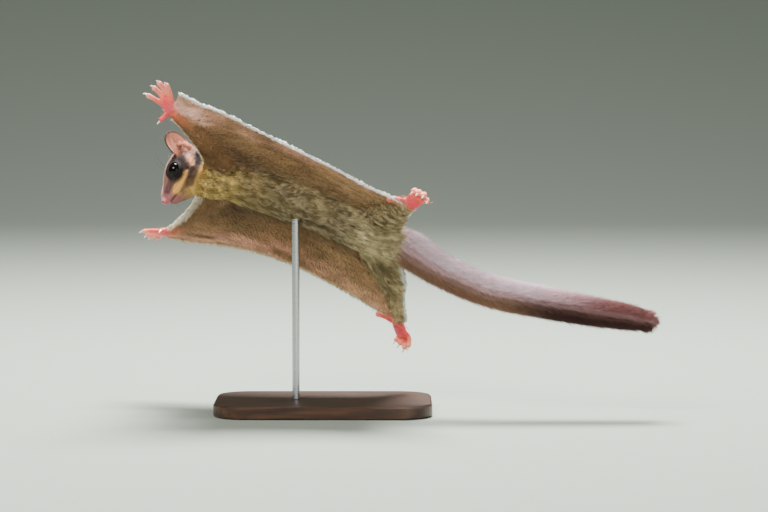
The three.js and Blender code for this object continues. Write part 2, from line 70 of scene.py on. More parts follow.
def add_node(tree, kind, **values):
    """A node of a tree, fed with its values."""
    node = tree.nodes.new(kind)
    feed(tree, node, values)
    return node


def plain_finish(name, rough, **sockets):
    """A new material, with its tree and its surface shader."""
    material = bpy.data.materials.new(name)
    material.use_nodes = True
    shader = material.node_tree.nodes["Principled BSDF"]
    feed(material.node_tree, shader, {"Roughness": rough, **sockets})
    return material, material.node_tree, shader


def colour_ramp(tree, source, stops):
    """A ramp fed by a value, with one colour for each place from 0 to 1."""
    ramp = add_node(tree, "ShaderNodeValToRGB", Fac=source)
    while len(ramp.color_ramp.elements) < len(stops):
        ramp.color_ramp.elements.new(0.5)
    for element, (place, colour) in zip(ramp.color_ramp.elements, stops):
        element.position = place
        element.color = paint(*colour)
    return ramp.outputs["Color"]


def dress(piece, material):
    """Gives a piece one material in place of what it had."""
    piece.data.materials.clear()
    piece.data.materials.append(material)


wood, tree, shader = plain_finish("dark oiled hardwood", 0.42)
place = add_node(tree, "ShaderNodeTexCoord").outputs["Object"]
along = add_node(tree, "ShaderNodeMapping", Vector=place, Scale=(9.0, 120.0, 120.0))
fibre = add_node(
    tree, "ShaderNodeTexNoise", Vector=along.outputs["Vector"], Scale=2.4, Detail=6.0, Roughness=0.62
).outputs["Fac"]
pores = add_node(tree, "ShaderNodeBump", Strength=0.25, Distance=0.0004, Height=fibre)
wood_colour = colour_ramp(
    tree, fibre, ((0.30, (34, 21, 14)), (0.52, (62, 38, 25)), (0.72, (88, 56, 36)))
)
feed(tree, shader, {"Base Color": wood_colour, "Normal": pores.outputs["Normal"]})

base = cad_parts["stand_base"]
dress(base, wood)

# The rod of the stand: bright drawn steel, set in the base and let into the belly of the model.
# Its solid stays as it is. The finish is fine and runs round the rod, as a lathe leaves it.

steel, tree, shader = plain_finish("drawn steel", 0.28, Metallic=1.0)
place = add_node(tree, "ShaderNodeTexCoord").outputs["Object"]
around = add_node(tree, "ShaderNodeMapping", Vector=place, Scale=(60.0, 60.0, 2600.0))
turning = add_node(
    tree, "ShaderNodeTexNoise", Vector=around.outputs["Vector"], Scale=1.0, Detail=2.0
)
dulled = add_node(
    tree, "ShaderNodeMapRange", **{"Value": turning.outputs["Fac"], "To Min": 0.2, "To Max": 0.38}
)
feed(tree, shader, {"Base Color": paint(186, 188, 190), "Roughness": dulled.outputs["Result"]})

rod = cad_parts["stand_rod"]
dress(rod, steel)

# The skin: one closed surface over the whole animal, from the lips to the tip of the tail. It
# takes the flesh of the solids, fills the creases where limbs and folds of skin leave the body,
# and lies inside them by the depth of the coat that grows on it.

FLIGHT_ANGLES = tuple(math.radians(angle) for angle in (40, -16, 172))
FLIGHT_TURN = np.array(Euler(FLIGHT_ANGLES, "XYZ").to_matrix())
FLIGHT_PLACE = np.array((-0.016, 0.0, 0.140))
TRUNK_FLESH = ("torso", "neck", "tail_root", "tail_middle", "tail_tip")
LIMB_FLESH = tuple(
    f"{part}_{side}"
    for part in ("upper_arm", "forearm", "thigh", "shank", "membrane")
    for side in ("left", "right")
)
HEAD_FLESH = ("head", "ear_left", "ear_right")
BARE_FLESH = ("hand_left", "hand_right", "foot_left", "foot_right")
CREASE_FILL = 0.0032
SEAM_FILL = 0.0007
COARSE_GRAIN, FINE_GRAIN = 0.0007, 0.00045


def triangles_of(mesh):
    """The points and triangles of a mesh, as two arrays."""
    mesh.calc_loop_triangles()
    points = np.empty(len(mesh.vertices) * 3, np.float32)
    mesh.vertices.foreach_get("co", points)
    faces = np.empty(len(mesh.loop_triangles) * 3, np.int32)
    mesh.loop_triangles.foreach_get("vertices", faces)
    return points.reshape(-1, 3), faces.reshape(-1, 3)


def joined(*shapes):
    """Several pairs of points and triangles as one."""
    starts = np.cumsum([0] + [len(points) for points, _ in shapes])
    return (
        np.concatenate([points for points, _ in shapes]),
        np.concatenate([faces + start for (_, faces), start in zip(shapes, starts)]),
    )


def flesh_triangles(names):
    """The triangles of some solids of the frame, together."""
    return joined(*(triangles_of(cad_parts[name].data) for name in names))


def distance_grid(points, faces, grain, reach):
    """The distance from a closed surface, negative inside, on a fine grid round it."""
    return openvdb.FloatGrid.createLevelSetFromPolygons(
        points=np.ascontiguousarray(points, np.float32),
        triangles=np.ascontiguousarray(faces, np.uint32),
        transform=openvdb.createLinearTransform(voxelSize=grain),
        halfWidth=reach / grain + 2,
    )


def surface_at(grid, distance):
    """The points and triangles of the surface at one distance."""
    points, faces, quads = grid.convertToPolygons(isovalue=distance, adaptivity=0.0)
    split = np.concatenate((faces, quads[:, (0, 1, 2)], quads[:, (0, 2, 3)])).astype(np.int64)
    corner = points[split]
    volume = np.einsum("ij,ij->i", corner[:, 0], np.cross(corner[:, 1], corner[:, 2])).sum()
    return points, split if volume > 0 else split[:, ::-1]


def closed_over(points, faces, fill, grain):
    """A surface with every crease narrower than twice the fill made good."""
    grown = surface_at(distance_grid(points, faces, grain, fill), fill)
    return surface_at(distance_grid(*grown, grain, fill), -fill)


HEAD_AT = np.array((85.9, -2.0, 3.3))
GAZE = np.array((0.334, -0.357, -0.872))
HEAD_LEFT = np.array((0.108, 0.934, -0.341))
GAZE /= np.linalg.norm(GAZE)
HEAD_LEFT /= np.linalg.norm(HEAD_LEFT)
HEAD_AXES = np.stack((GAZE, HEAD_LEFT, np.cross(GAZE, HEAD_LEFT)))
EAR_FOOT, EAR_HEIGHT, EAR_WIDTH = np.array((-11.5, 7.8, 5.6)), 20.6, 14.6
EAR_UP = np.array((-0.1, math.sin(math.radians(22)), math.cos(math.radians(22))))
EAR_UP /= np.linalg.norm(EAR_UP)
EAR_FRONT = np.array((0.9, 0.42, 0.06)) - np.array((0.9, 0.42, 0.06)) @ EAR_UP * EAR_UP
EAR_FRONT /= np.linalg.norm(EAR_FRONT)
EAR_OPEN = np.cross(EAR_FRONT, EAR_UP) * -1
NOSE_AT = np.array((22.9, 0.0, -1.9))


def to_body(points):
    """Points of the model's frame, in metres, as millimetres in the animal's own frame."""
    return (points - FLIGHT_PLACE) @ FLIGHT_TURN * 1000


def to_head(body):
    """Points of the animal's frame in the head's frame, x along the muzzle and z to the crown."""
    return (body - HEAD_AT) @ HEAD_AXES.T


def from_head(place):
    """A place of the head's frame in the model's frame, in metres."""
    body = np.asarray(place) @ HEAD_AXES + HEAD_AT
    return body @ FLIGHT_TURN.T / 1000 + FLIGHT_PLACE


def ball_shape(centre, radius, rings=10, sides=16):
    """A closed ball as points and triangles."""
    tilt, turn = np.meshgrid(
        np.linspace(0, math.pi, rings + 1)[1:-1],
        np.linspace(0, 2 * math.pi, sides, endpoint=False),
        indexing="ij",
    )
    bands = np.stack((np.sin(tilt) * np.cos(turn), np.sin(tilt) * np.sin(turn), np.cos(tilt)), -1)
    unit = np.concatenate((bands.reshape(-1, 3), ((0, 0, 1), (0, 0, -1))))
    top, bottom = len(unit) - 2, len(unit) - 1
    faces = []
    for turn_number in range(sides):
        beside = (turn_number + 1) % sides
        last = (rings - 2) * sides
        faces += [(top, turn_number, beside), (bottom, last + beside, last + turn_number)]
        for ring in range(rings - 2):
            here, next_to = ring * sides + turn_number, ring * sides + beside
            faces += [(here, here + sides, next_to + sides), (here, next_to + sides, next_to)]
    return centre + unit * radius, np.array(faces)


def fleshy_ridge(path, radii):
    """A row of balls that overlap along a line of the head's frame, to be merged with the flesh."""
    path, radii = np.asarray(path, float), np.asarray(radii, float)
    runs = np.concatenate(((0,), np.cumsum(np.linalg.norm(np.diff(path, axis=0), axis=1))))
    stops = np.linspace(0, runs[-1], max(2, int(runs[-1] / 0.4)))
    balls = []
    for stop in stops:
        place = [np.interp(stop, runs, path[:, axis]) for axis in range(3)]
        balls.append(ball_shape(from_head(place), np.interp(stop, runs, radii) / 1000))
    return joined(*balls)


def on_ear(up, front, opened):
    """A place in the left ear, from its foot."""
    return EAR_FOOT + EAR_UP * up + EAR_FRONT * front + EAR_OPEN * opened


# The left eye: its middle and radius, and the ways out of it, to its front corner and across it.

EYE_AT, EYE_RADIUS = np.array((3.4, 9.4, 2.8)), 5.8
EYE_OUT = np.array((0.151, 0.946, -0.285))
EYE_CORNER = np.array((0.783, -0.291, -0.549))
EYE_ACROSS = np.array((0.603, 0.141, 0.785))
LID_REACH, CORNER_SPREAD, LID_SPREAD = 5.7, math.tan(math.radians(74)), math.tan(math.radians(57))


def eyelid(side):
    """The line of one lid of the left eye, over the ball from corner to corner."""
    line = []
    for angle in np.linspace(0, math.pi, 13):
        way = EYE_OUT + EYE_CORNER * CORNER_SPREAD * math.cos(angle)
        way = way + EYE_ACROSS * side * LID_SPREAD * math.sin(angle)
        line.append(EYE_AT + LID_REACH * way / np.linalg.norm(way))
    return tuple(line)


# What the solids leave thin: the nose, lips, chin, cheeks, the folds in the ears and the lids. Each
# is a line of the head's frame with its thickness, for the left side, and is mirrored.

LID_THICKNESS = (0.8, *(1.2,) * 11, 0.8)
FULLER_FORMS = (
    (((22.9, 0, -1.9), (22.8, 0, -1.9)), (3.1, 3.1)),
    (((20.6, 2.2, -4.0), (15.0, 4.2, -5.2)), (2.5, 3.3)),
    (((19.4, 0, -7.0), (14.5, 0, -8.6), (7.0, 0, -10.8), (-1.0, 0, -11.6)), (2.5, 3.8, 5.3, 6.0)),
    (((12.0, 4.8, -5.8), (7.0, 6.0, -6.0), (0.0, 7.2, -6.5)), (3.6, 4.5, 5.2)),
    ((on_ear(-1, -4.5, 0.6), on_ear(4.0, -3.2, 0.6), on_ear(7.0, -0.8, 0.0)), (1.7, 1.6, 1.1)),
    ((on_ear(1, 3.8, -0.2), on_ear(7.0, 2.4, -1.4), on_ear(13.0, -0.4, -1.2)), (1.0, 0.9, 0.6)),
    ((on_ear(-1, 1.0, 0.4), on_ear(2.5, 0.8, 0.2)), (2.2, 1.5)),
    (eyelid(1), LID_THICKNESS),
    (eyelid(-1), LID_THICKNESS),
)
fuller_forms = []
for path, radii in FULLER_FORMS:
    for side in (1, -1):
        fuller_forms.append(fleshy_ridge(np.array(path) * (1, side, 1), radii))

rounded_body = closed_over(*flesh_triangles(TRUNK_FLESH + LIMB_FLESH), CREASE_FILL, COARSE_GRAIN)
whole_flesh = joined(rounded_body, flesh_triangles(HEAD_FLESH + BARE_FLESH), *fuller_forms)
skin_points, skin_faces = closed_over(*whole_flesh, SEAM_FILL, FINE_GRAIN)
skin_points = skin_points.astype(np.float64)

# How near each place is to each part of the animal, so that the depth of the coat, its length
# and its colour can change from part to part with no edge between them.

REGION_FLESH = {
    "head": ("head",),
    "ears": ("ear_left", "ear_right"),
    "hands": ("hand_left", "hand_right"),
    "feet": ("foot_left", "foot_right"),
    "body": ("torso", "neck"),
    "tail": ("tail_root", "tail_middle", "tail_tip"),
    "arms": ("upper_arm_left", "forearm_left", "upper_arm_right", "forearm_right"),
    "legs": ("thigh_left", "shank_left", "thigh_right", "shank_right"),
    "membranes": ("membrane_left", "membrane_right"),
}
REGION_GRAIN, REGION_REACH, REGION_BLEND = 0.001, 0.009, 0.0013
FACE_MIDDLE, FACE_REACH, FACE_FADE = np.array((-1.0, 0.0, -2.0)), 21.0, 3.5


class Nearness:
    """The distance from one group of solids, read anywhere between the grid's points."""

    def __init__(self, names):
        points, faces = flesh_triangles(names)
        self.low = np.floor((points.min(0) - REGION_REACH) / REGION_GRAIN).astype(int)
        high = np.ceil((points.max(0) + REGION_REACH) / REGION_GRAIN).astype(int)
        self.values = np.empty(high - self.low + 1, np.float32)
        grid = distance_grid(points, faces, REGION_GRAIN, REGION_REACH)
        grid.copyToArray(self.values, ijk=tuple(int(v) for v in self.low))

    def at(self, points):
        """The distance at each point, up to the reach of the grid."""
        place = points / REGION_GRAIN - self.low
        place = np.clip(place, 0, np.array(self.values.shape) - 1.001)
        cell = place.astype(int)
        part = place - cell
        total = np.zeros(len(points))
        for corner in np.ndindex(2, 2, 2):
            share = np.prod(np.where(corner, part, 1 - part), axis=1)
            x, y, z = (cell + corner).T
            total += share * self.values[x, y, z]
        return total


nearness = {region: Nearness(names) for region, names in REGION_FLESH.items()}


def region_shares(points):
    """How much each place belongs to each region, with shares that add up to one."""
    pull = np.stack([-nearness[region].at(points) / REGION_BLEND for region in REGION_FLESH])
    pull = np.exp(np.clip(pull - pull.max(0), -30, 0))
    shares = dict(zip(REGION_FLESH, pull / pull.sum(0)))
    from_face = np.linalg.norm(to_head(to_body(points)) - FACE_MIDDLE, axis=1)
    nape = shares["body"] * np.clip((FACE_REACH - from_face) / FACE_FADE, 0, 1)
    shares["head"] = shares["head"] + nape
    shares["body"] = shares["body"] - nape
    return shares


def by_region(shares, values, rest=0.0):
    """One value for each place, blended from the values of its regions."""
    return sum(shares[region] * values.get(region, rest) for region in shares)


def unit(vectors):
    """Each row at a length of one."""
    return vectors / np.maximum(np.linalg.norm(vectors, axis=1, keepdims=True), 1e-12)


def face_normals(corner):
    """The way out of each triangle, as long as twice its area, from its three corners."""
    return np.cross(corner[:, 1] - corner[:, 0], corner[:, 2] - corner[:, 0])


def point_normals(points, faces):
    """The way out of the surface at each of its points."""
    across = face_normals(points[faces])
    total = np.stack(
        [
            sum(np.bincount(faces[:, k], across[:, axis], len(points)) for k in range(3))
            for axis in range(3)
        ],
        axis=1,
    )
    return unit(total)


def eased(points, faces, amount, rounds):
    """The points drawn to the middle of their neighbours and back out, which takes off steps
    and facets and keeps the thickness."""
    starts = faces.ravel()
    ends = faces[:, (1, 2, 0)].ravel()
    count = np.maximum(np.bincount(starts, minlength=len(points)), 1)
    for _ in range(rounds):
        for step in (EASE_IN, EASE_OUT):
            middle = np.stack(
                [np.bincount(starts, points[ends, axis], len(points)) / count for axis in range(3)],
                axis=1,
            )
            points = points + step * amount[:, None] * (middle - points)
    return points


EASE = {"body": 1.0, "tail": 1.0, "arms": 1.0, "legs": 1.0, "membranes": 0.9, "head": 0.45,
        "ears": 0.5, "hands": 0.45, "feet": 0.45}
EASE_ROUNDS, LAST_ROUNDS = 14, 3
EASE_IN, EASE_OUT = 0.55, -0.57
COAT_DEPTH = {"body": 0.0020, "tail": 0.0024, "arms": 0.0011, "legs": 0.0014,
              "membranes": 0.0003, "head": 0.0001, "hands": -0.0003, "feet": -0.0003}
shares = region_shares(skin_points)
skin_points = eased(skin_points, skin_faces, by_region(shares, EASE), EASE_ROUNDS)
shares = region_shares(skin_points)
skin_points -= by_region(shares, COAT_DEPTH)[:, None] * point_normals(skin_points, skin_faces)
skin_points = eased(skin_points, skin_faces, by_region(shares, EASE), LAST_ROUNDS)


def mesh_object(name, points, faces, smooth=True):
    """A mesh of triangles made straight from arrays."""
    mesh = bpy.data.meshes.new(name)
    mesh.vertices.add(len(points))
    mesh.vertices.foreach_set("co", np.ascontiguousarray(points, np.float32).ravel())
    mesh.loops.add(len(faces) * 3)
    mesh.loops.foreach_set("vertex_index", np.ascontiguousarray(faces, np.int32).ravel())
    mesh.polygons.add(len(faces))
    mesh.polygons.foreach_set("loop_start", np.arange(0, len(faces) * 3, 3, dtype=np.int32))
    mesh.polygons.foreach_set("use_smooth", np.full(len(faces), smooth))
    mesh.update(calc_edges=True)
    made = bpy.data.objects.new(name, mesh)
    bpy.context.scene.collection.objects.link(made)
    return made


def keep_result(piece, modifier):
    """Keeps the mesh that a modifier makes, in place of the piece's own."""
    made = bpy.data.meshes.new_from_object(
        piece.evaluated_get(bpy.context.evaluated_depsgraph_get())
    )
    piece.modifiers.remove(modifier)
    piece.data = made
    made.name = piece.name


SKIN_TRIANGLES = 190_000
skin = mesh_object("skin", skin_points, skin_faces)
thinning = skin.modifiers.new("fewer triangles", "DECIMATE")
thinning.ratio = SKIN_TRIANGLES / len(skin_faces)
keep_result(skin, thinning)
skin_points, skin_faces = triangles_of(skin.data)
skin_points = skin_points.astype(np.float64)
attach(skin, "root")
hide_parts(*TRUNK_FLESH, *LIMB_FLESH, *HEAD_FLESH, *BARE_FLESH)

# The markings, the same for the skin and for every tuft that grows on it, with painted shade and
# painted highlights among them. They are laid out in the animal's own frame, in millimetres: x to
# the head, y to its left, z to its back, and for the head a second frame with x along the muzzle.

NOSTRIL_AT = np.array((25.1, 1.5, -1.7))
EDGE_LINE = (
    (76, 81, 4), (60, 77, 5), (32, 70, 3.6), (3, 66.5, 0), (-27, 66, -6), (-50, 66, -12), (-68, 68, -16)
)
EDGE_X = (-80, *(x for x, _, _ in reversed(EDGE_LINE)), 92)
EDGE_Y = (67, *(y for _, y, _ in reversed(EDGE_LINE)), 88)
EDGE_ENDS = {1: ((90.5, 88, 2.5), (-78.5, 67, -18)), -1: ((98, 84, 2.5), (-83.5, 67, -19))}
TAIL_START, TAIL_LENGTH, TAIL_SAG = -64.0, 186.0, 18.0
TAIL_SHARES = (0, 0.1, 0.24, 0.42, 0.62, 0.8, 0.93, 1)
TAIL_DROPS = (0.02, 0.34, 0.82, 1.08, 0.88, 0.64, 0.42, 0.34)
ARM_LINES = {
    1: ((58, 9, 8), (73, 42, 1.5), (93, 69, -1.5)),
    -1: ((60, -9, 7), (75.5, -42, 1), (93, -70, -2)),
}
LEG_LINES = {
    1: ((-53, 8, 1), (-68, 43, -8), (-78.5, 67, -18)),
    -1: ((-54, -8, 1), (-72, -43, -8), (-83.5, -67, -19)),
}


def rise(low, high, value):
    """0 below one bound and 1 past the other, with a soft start and end."""
    share = np.clip((value - low) / (high - low), 0, 1)
    return share * share * (3 - 2 * share)


def down_tail(x):
    """How far down the tail a place is, from 0 at its root to 1 at its tip."""
    return np.clip((TAIL_START - x) / TAIL_LENGTH, 0, 1)


def distance_to_line(points, start, end):
    """How far each point is from a straight piece between two places."""
    start, end = np.asarray(start, float), np.asarray(end, float)
    along = np.clip((points - start) @ (end - start) / ((end - start) @ (end - start)), 0, 1)
    return np.linalg.norm(points - start - along[:, None] * (end - start), axis=1)


def free_edge(side):
    """The free edge of the gliding skin on one side, from the little finger to the ankle."""
    start, end = EDGE_ENDS[side]
    knots = np.array((start, *EDGE_LINE, end), float) * (1, side, 1)
    ends = (2 * knots[0] - knots[1], *knots, 2 * knots[-1] - knots[-2])
    line = []
    for before, here, there, after in zip(ends, ends[1:], ends[2:], ends[3:]):
        for t in np.linspace(0, 1, 14, endpoint=False):
            line.append(
                0.5 * (2 * here + (there - before) * t + (2 * before - 5 * here + 4 * there - after) * t * t
                       + (3 * here - before - 3 * there + after) * t ** 3)
            )
    return np.array((*line, knots[-1]))


FREE_EDGES = {side: free_edge(side) for side in (1, -1)}


def from_edge(body):
    """How far each place is from the free edge of its side, in millimetres."""
    reach = np.full(len(body), 1e3)
    for side, line in FREE_EDGES.items():
        mine = np.flatnonzero(body[:, 1] * side > 0)
        for block in np.array_split(mine, max(1, len(mine) // 20000)):
            gap = np.linalg.norm(body[block, None, :] - line[None], axis=2)
            reach[block] = gap.min(1)
    return reach


CLOUD = np.random.default_rng(11).random((32, 32, 32))


def cloudy(body, size, shift=0.0):
    """Soft patches of about one size in millimetres, from 0 to 1, the same wherever they are read."""
    place = body / size + 100.0 + shift
    cell = np.floor(place).astype(int)
    part = place - cell
    part = part * part * (3 - 2 * part)
    total = np.zeros(len(body))
    for corner in np.ndindex(2, 2, 2):
        x, y, z = ((cell + corner) % 32).T
        total += np.prod(np.where(corner, part, 1 - part), axis=1) * CLOUD[x, y, z]
    return total


def blended(first, second, share):
    """Two colours mixed at each place. Either may be one colour for all of them."""
    first, second = np.asarray(first)[..., :3], np.asarray(second)[..., :3]
    return first + np.asarray(share)[:, None] * (second - first)


def over(colour, *layers):
    """A colour with others laid over it in turn, each with its own share at each place."""
    for chart, share in layers:
        colour = blended(colour, paint(*chart), share)
    return colour


def on_left_side(place):
    """Places of the head, those of its right side mirrored onto its left."""
    return np.column_stack((place[:, 0], np.abs(place[:, 1]), place[:, 2]))


def seen_from_side(place):
    """Places of the head as they are seen from its side: behind the eye and above it."""
    from_eye = on_left_side(place) - EYE_AT
    return -np.column_stack((from_eye @ EYE_ACROSS, from_eye @ EYE_CORNER))


def ear_band(place):
    """The dark band from behind the ear down past the cheek."""
    return rise(5.0, 2.0, distance_to_line(seen_from_side(place), (13.5, 5.0), (10.0, -8.0)))


# The marks on the side of the head, each a soft line in that view: start, end, how far it
# reaches, how far it is full, its colour and its strength.

SIDE_MARKS = (
    ((5.5, -3.5), (0.8, -14.0), 4.0, 1.4, (220, 166, 86), 1.0),
    ((10.0, -8.0), (5.5, -15.0), 2.8, 1.0, (112, 86, 60), 0.7),
    ((8.6, 8.4), (10.6, 3.8), 2.3, 1.0, (206, 148, 112), 0.9),
    ((14.4, 10.5), (14.8, 4.0), 2.3, 1.3, (18, 15, 15), 1.0),
    ((2.4, 11.0), (4.2, 6.0), 2.5, 1.4, (20, 16, 16), 1.0),
    ((5.0, 6.0), (10.0, -2.0), 1.7, 0.7, (44, 32, 30), 0.9),
    ((-2.5, -7.0), (-5.8, -14.5), 3.0, 1.2, (82, 54, 58), 0.85),
)


def head_colours(body):
    """The face: dark rings round the eyes, a dark stripe down the crown, golden cheeks."""
    place = on_left_side(to_head(body))
    x, y, z = place.T
    side_on = rise(1.5, 4.5, y)
    colour = over(
        paint(146, 104, 88),
        ((106, 74, 68), cloudy(body, 4.0)),
        ((158, 100, 100), rise(12, 21, x) * 0.8),
        # painted highlight: a pale band along the top of the head's midline, which shows along the top of
        # the muzzle
        ((222, 190, 178), rise(4.5, 1.5, y) * rise(0, 5, z)),
        ((190, 152, 84), rise(-7, -12, z) * rise(18, 6, x)),
        ((192, 156, 84), rise(-8, -16, x) * rise(0, -6, z)),
        ((66, 46, 40), ear_band(place) * side_on * 0.9),
    )
    seen = seen_from_side(place)
    for start, end, reach, full, mark, strength in SIDE_MARKS:
        gap = distance_to_line(seen, start, end)
        colour = over(colour, (mark, rise(reach, full, gap) * side_on * strength))
    ring = np.hypot(seen[:, 0] / 5.3, (seen[:, 1] + 0.2) / 7.2)
    lip = np.abs(z + 6.4 + (22 - x) * 0.16)
    eye, nose, nostril = (
        np.linalg.norm(place - middle, axis=1) for middle in (EYE_AT, NOSE_AT, NOSTRIL_AT)
    )
    return over(
        colour,
        ((52, 42, 40), rise(3.4, 1.6, y) * rise(13, 4, x) * rise(2, 6, z) * 0.85),
        ((50, 36, 34), rise(1.4, 1.02, ring) * side_on * 0.9),
        ((24, 18, 17), rise(7.6, 6.8, eye)),
        ((84, 46, 46), rise(0.7, 0.3, lip) * rise(14, 18, x) * 0.6),
        ((226, 140, 150), rise(4.0, 3.3, nose)),
        # painted shade: the underside of the nose a deeper pink than its top
        ((188, 70, 88), rise(4.0, 3.3, nose) * rise(-1.5, -3.5, z)),
        ((60, 20, 24), rise(1.1, 0.7, nostril)),
    )


def ear_colours(body, outward):
    """The ear: thin pink-brown skin with a dark rim, paler and pinker in the folds at its foot."""
    place = to_head(body)
    side = np.sign(place[:, 1])
    from_foot = on_left_side(place) - EAR_FOOT
    height, width = from_foot @ EAR_UP, from_foot @ EAR_FRONT
    half = EAR_HEIGHT / 2
    reach = np.hypot(width / (EAR_WIDTH / 2), np.maximum(height - half + 2, 0) / half)
    facing = outward @ HEAD_AXES.T
    inside = rise(-0.2, 0.3, facing[:, 1] * side)
    return over(
        paint(122, 90, 78),
        ((206, 138, 116), inside),
        ((244, 150, 112), rise(8, 1, height) * inside),
        ((40, 30, 30), rise(5, 0, height) * (1 - inside) * 0.8),
        ((62, 44, 42), rise(0.84, 0.97, reach)),
    )


def bare_colours(body, outward):
    """Hands and feet: coral skin, a deeper pink in the palm, pale towards the ends of the digits."""
    left = body[:, 1:2] > 0
    wrist = np.where(
        body[:, :1] > 0,
        np.where(left, ARM_LINES[1][2], ARM_LINES[-1][2]),
        np.where(left, LEG_LINES[1][2], LEG_LINES[-1][2]),
    )
    away = np.linalg.norm(body - wrist, axis=1)
    sole = rise(0.0, 0.6, -outward[:, 2])
    return over(
        paint(250, 112, 86),
        ((236, 74, 64), rise(0.35, 0.65, cloudy(body, 3.0))),
        ((226, 58, 82), sole * rise(11, 4, np.abs(away - 5)) * 0.85),
        ((255, 158, 136), rise(13, 22, away) * 0.8),
        ((214, 98, 64), rise(4, -2, away) * 0.6),
    )


def marks_and_painted_light(points, outward):
    """The colour of the coat, or of the skin where it is bare, at each place, with painted shade and
    highlights in it.
    """
    shares = region_shares(points)
    body = to_body(points)
    outward = outward @ FLIGHT_TURN
    x, y, z = body.T
    side = np.abs(y)
    under = rise(0.3, -0.25, outward[:, 2])
    patches = cloudy(body, 14.0)
    streak = rise(0.2, 0.8, cloudy(body * (0.28, 1, 1), 2.6, 3.0))
    left = y > 0
    away = side / np.interp(x, EDGE_X, EDGE_Y)
    rim = from_edge(body)
    from_elbow = distance_to_line(body, (77, 46, 0), (52, 26, 0))
    from_wrist = distance_to_line(body, (88, 76, 0), (72, 66, 0))
    blush = rise(0.15, 0.55, cloudy(body * (0.5, 1, 1), 7.0))
    along = down_tail(x)
    below = rise(-0.2, -1.0, outward[:, 2])
    lit = np.where(left, rise(0.6, 0.85, outward[:, 0]), rise(0.15, 0.6, outward[:, 0]))
    belly = over(
        paint(166, 146, 106),
        ((122, 104, 74), patches),
        ((148, 124, 76), rise(14, 36, x) * 0.8),
        ((178, 150, 86), rise(40, 60, x)),
        ((84, 62, 50), ear_band(to_head(body)) * 0.9),
        ((206, 188, 144), rise(-20, -48, x) * 0.75),
    )
    back = over(
        paint(122, 112, 104),
        ((102, 92, 86), patches),
        ((44, 38, 37), rise(5.5, 2.5, side) * rise(-52, -38, x)),
        ((206, 180, 178), rise(-52, -66, x) * 0.8),
    )
    web = over(
        paint(166, 126, 86),
        ((128, 94, 60), patches),
        # painted shade: the gliding skin darker next to the body, in the crease by the belly, and much
        # darker on the right side, which lies in shadow
        ((108, 84, 54), rise(0.56, 0.24, away) * np.where(left, 0.25, 0.85)),
        ((150, 128, 90), rise(0.5, 0.2, away) * left * 0.8),
        ((226, 166, 140), rise(24, 5, rim) * blush * 0.8),
        # painted shade: a darker brown patch on the gliding skin by the elbow
        ((118, 82, 54), rise(20, 8, from_elbow) * 0.8),
        ((250, 196, 178), rise(8, 3, from_wrist) * rise(0.25, 0.6, cloudy(body, 5.0))),
        ((200, 160, 116), rise(5, -40, x) * rise(0.25, 0.6, away) * 0.6),
        # the white free edge of the gliding skin: pale hair, at full strength on the left as painted rim
        # light, and at half strength on the right
        ((250, 247, 240), np.where(left, rise(2.0, 1.2, rim), 0.5 * rise(1.4, 0.6, rim))),
    )
    web_back = over(
        paint(112, 102, 99), ((92, 83, 81), patches), ((244, 238, 226), rise(1.8, 0.8, rim))
    )
    # painted highlight and painted shade: the grey-mauve tail fur is painted a bright pale pink over its
    # top and brown beneath, where shade falls; towards its end it is darker of its own, and near-black
    # beneath
    tail = over(
        paint(255, 216, 226),
        ((148, 110, 88), below),
        ((66, 38, 36), rise(0.42, 0.68, along) * below),
        ((150, 98, 96), rise(0.52, 0.86, along) * (1 - below)),
    )
    arm = over(
        paint(116, 104, 98),
        ((142, 106, 72), under),
        ((214, 116, 84), under * rise(54, 70, side) * 0.8),
        ((238, 224, 200), lit * rise(10, 22, side) * 0.9),
    )
    leg = over(
        paint(124, 112, 104),
        ((166, 146, 106), under),
        # painted rim light: a near-white band down the back of each leg, where its surface faces the tail
        ((248, 244, 236), rise(-0.62, -0.9, outward[:, 0]) * rise(14, 30, side)),
    )
    tone = (0.7 + 0.5 * streak)[:, None]
    web_tone = (0.78 + 0.38 * streak)[:, None]
    bare = bare_colours(body, outward)
    colours = {
        "body": blended(back, belly, under) * tone,
        "membranes": blended(web_back, web, under) * web_tone,
        "tail": tail,
        "arms": arm,
        "legs": leg * tone,
        "head": head_colours(body),
        "ears": ear_colours(body, outward),
        "hands": bare,
        "feet": bare,
    }
    return sum(shares[region][:, None] * colours[region] for region in colours)


def colour_points(mesh, name, colours):
    """Keeps one colour for each point of a mesh, for the material to read."""
    kept = mesh.color_attributes.new(name, "FLOAT_COLOR", "POINT")
    kept.data.foreach_set("color", np.column_stack((colours, np.ones(len(colours)))).ravel())


skin_outward = point_normals(skin_points, skin_faces)
colour_points(skin.data, "marks_and_painted_light", marks_and_painted_light(skin_points, skin_outward))
bareness = by_region(region_shares(skin_points), {"hands": 1.0, "feet": 1.0, "ears": 0.7})
nose_reach = np.linalg.norm(to_head(to_body(skin_points)) - NOSE_AT, axis=1)
bareness = np.maximum(bareness, rise(3.9, 3.2, nose_reach))
bare = skin.data.attributes.new("bare", "FLOAT", "POINT")
bare.data.foreach_set("value", bareness)

# The skin's finish: close under-fur that lies flat, shown as fine streaks that run along the
# body, and bare skin with small creases and a slight shine on the hands, feet, ears and nose.

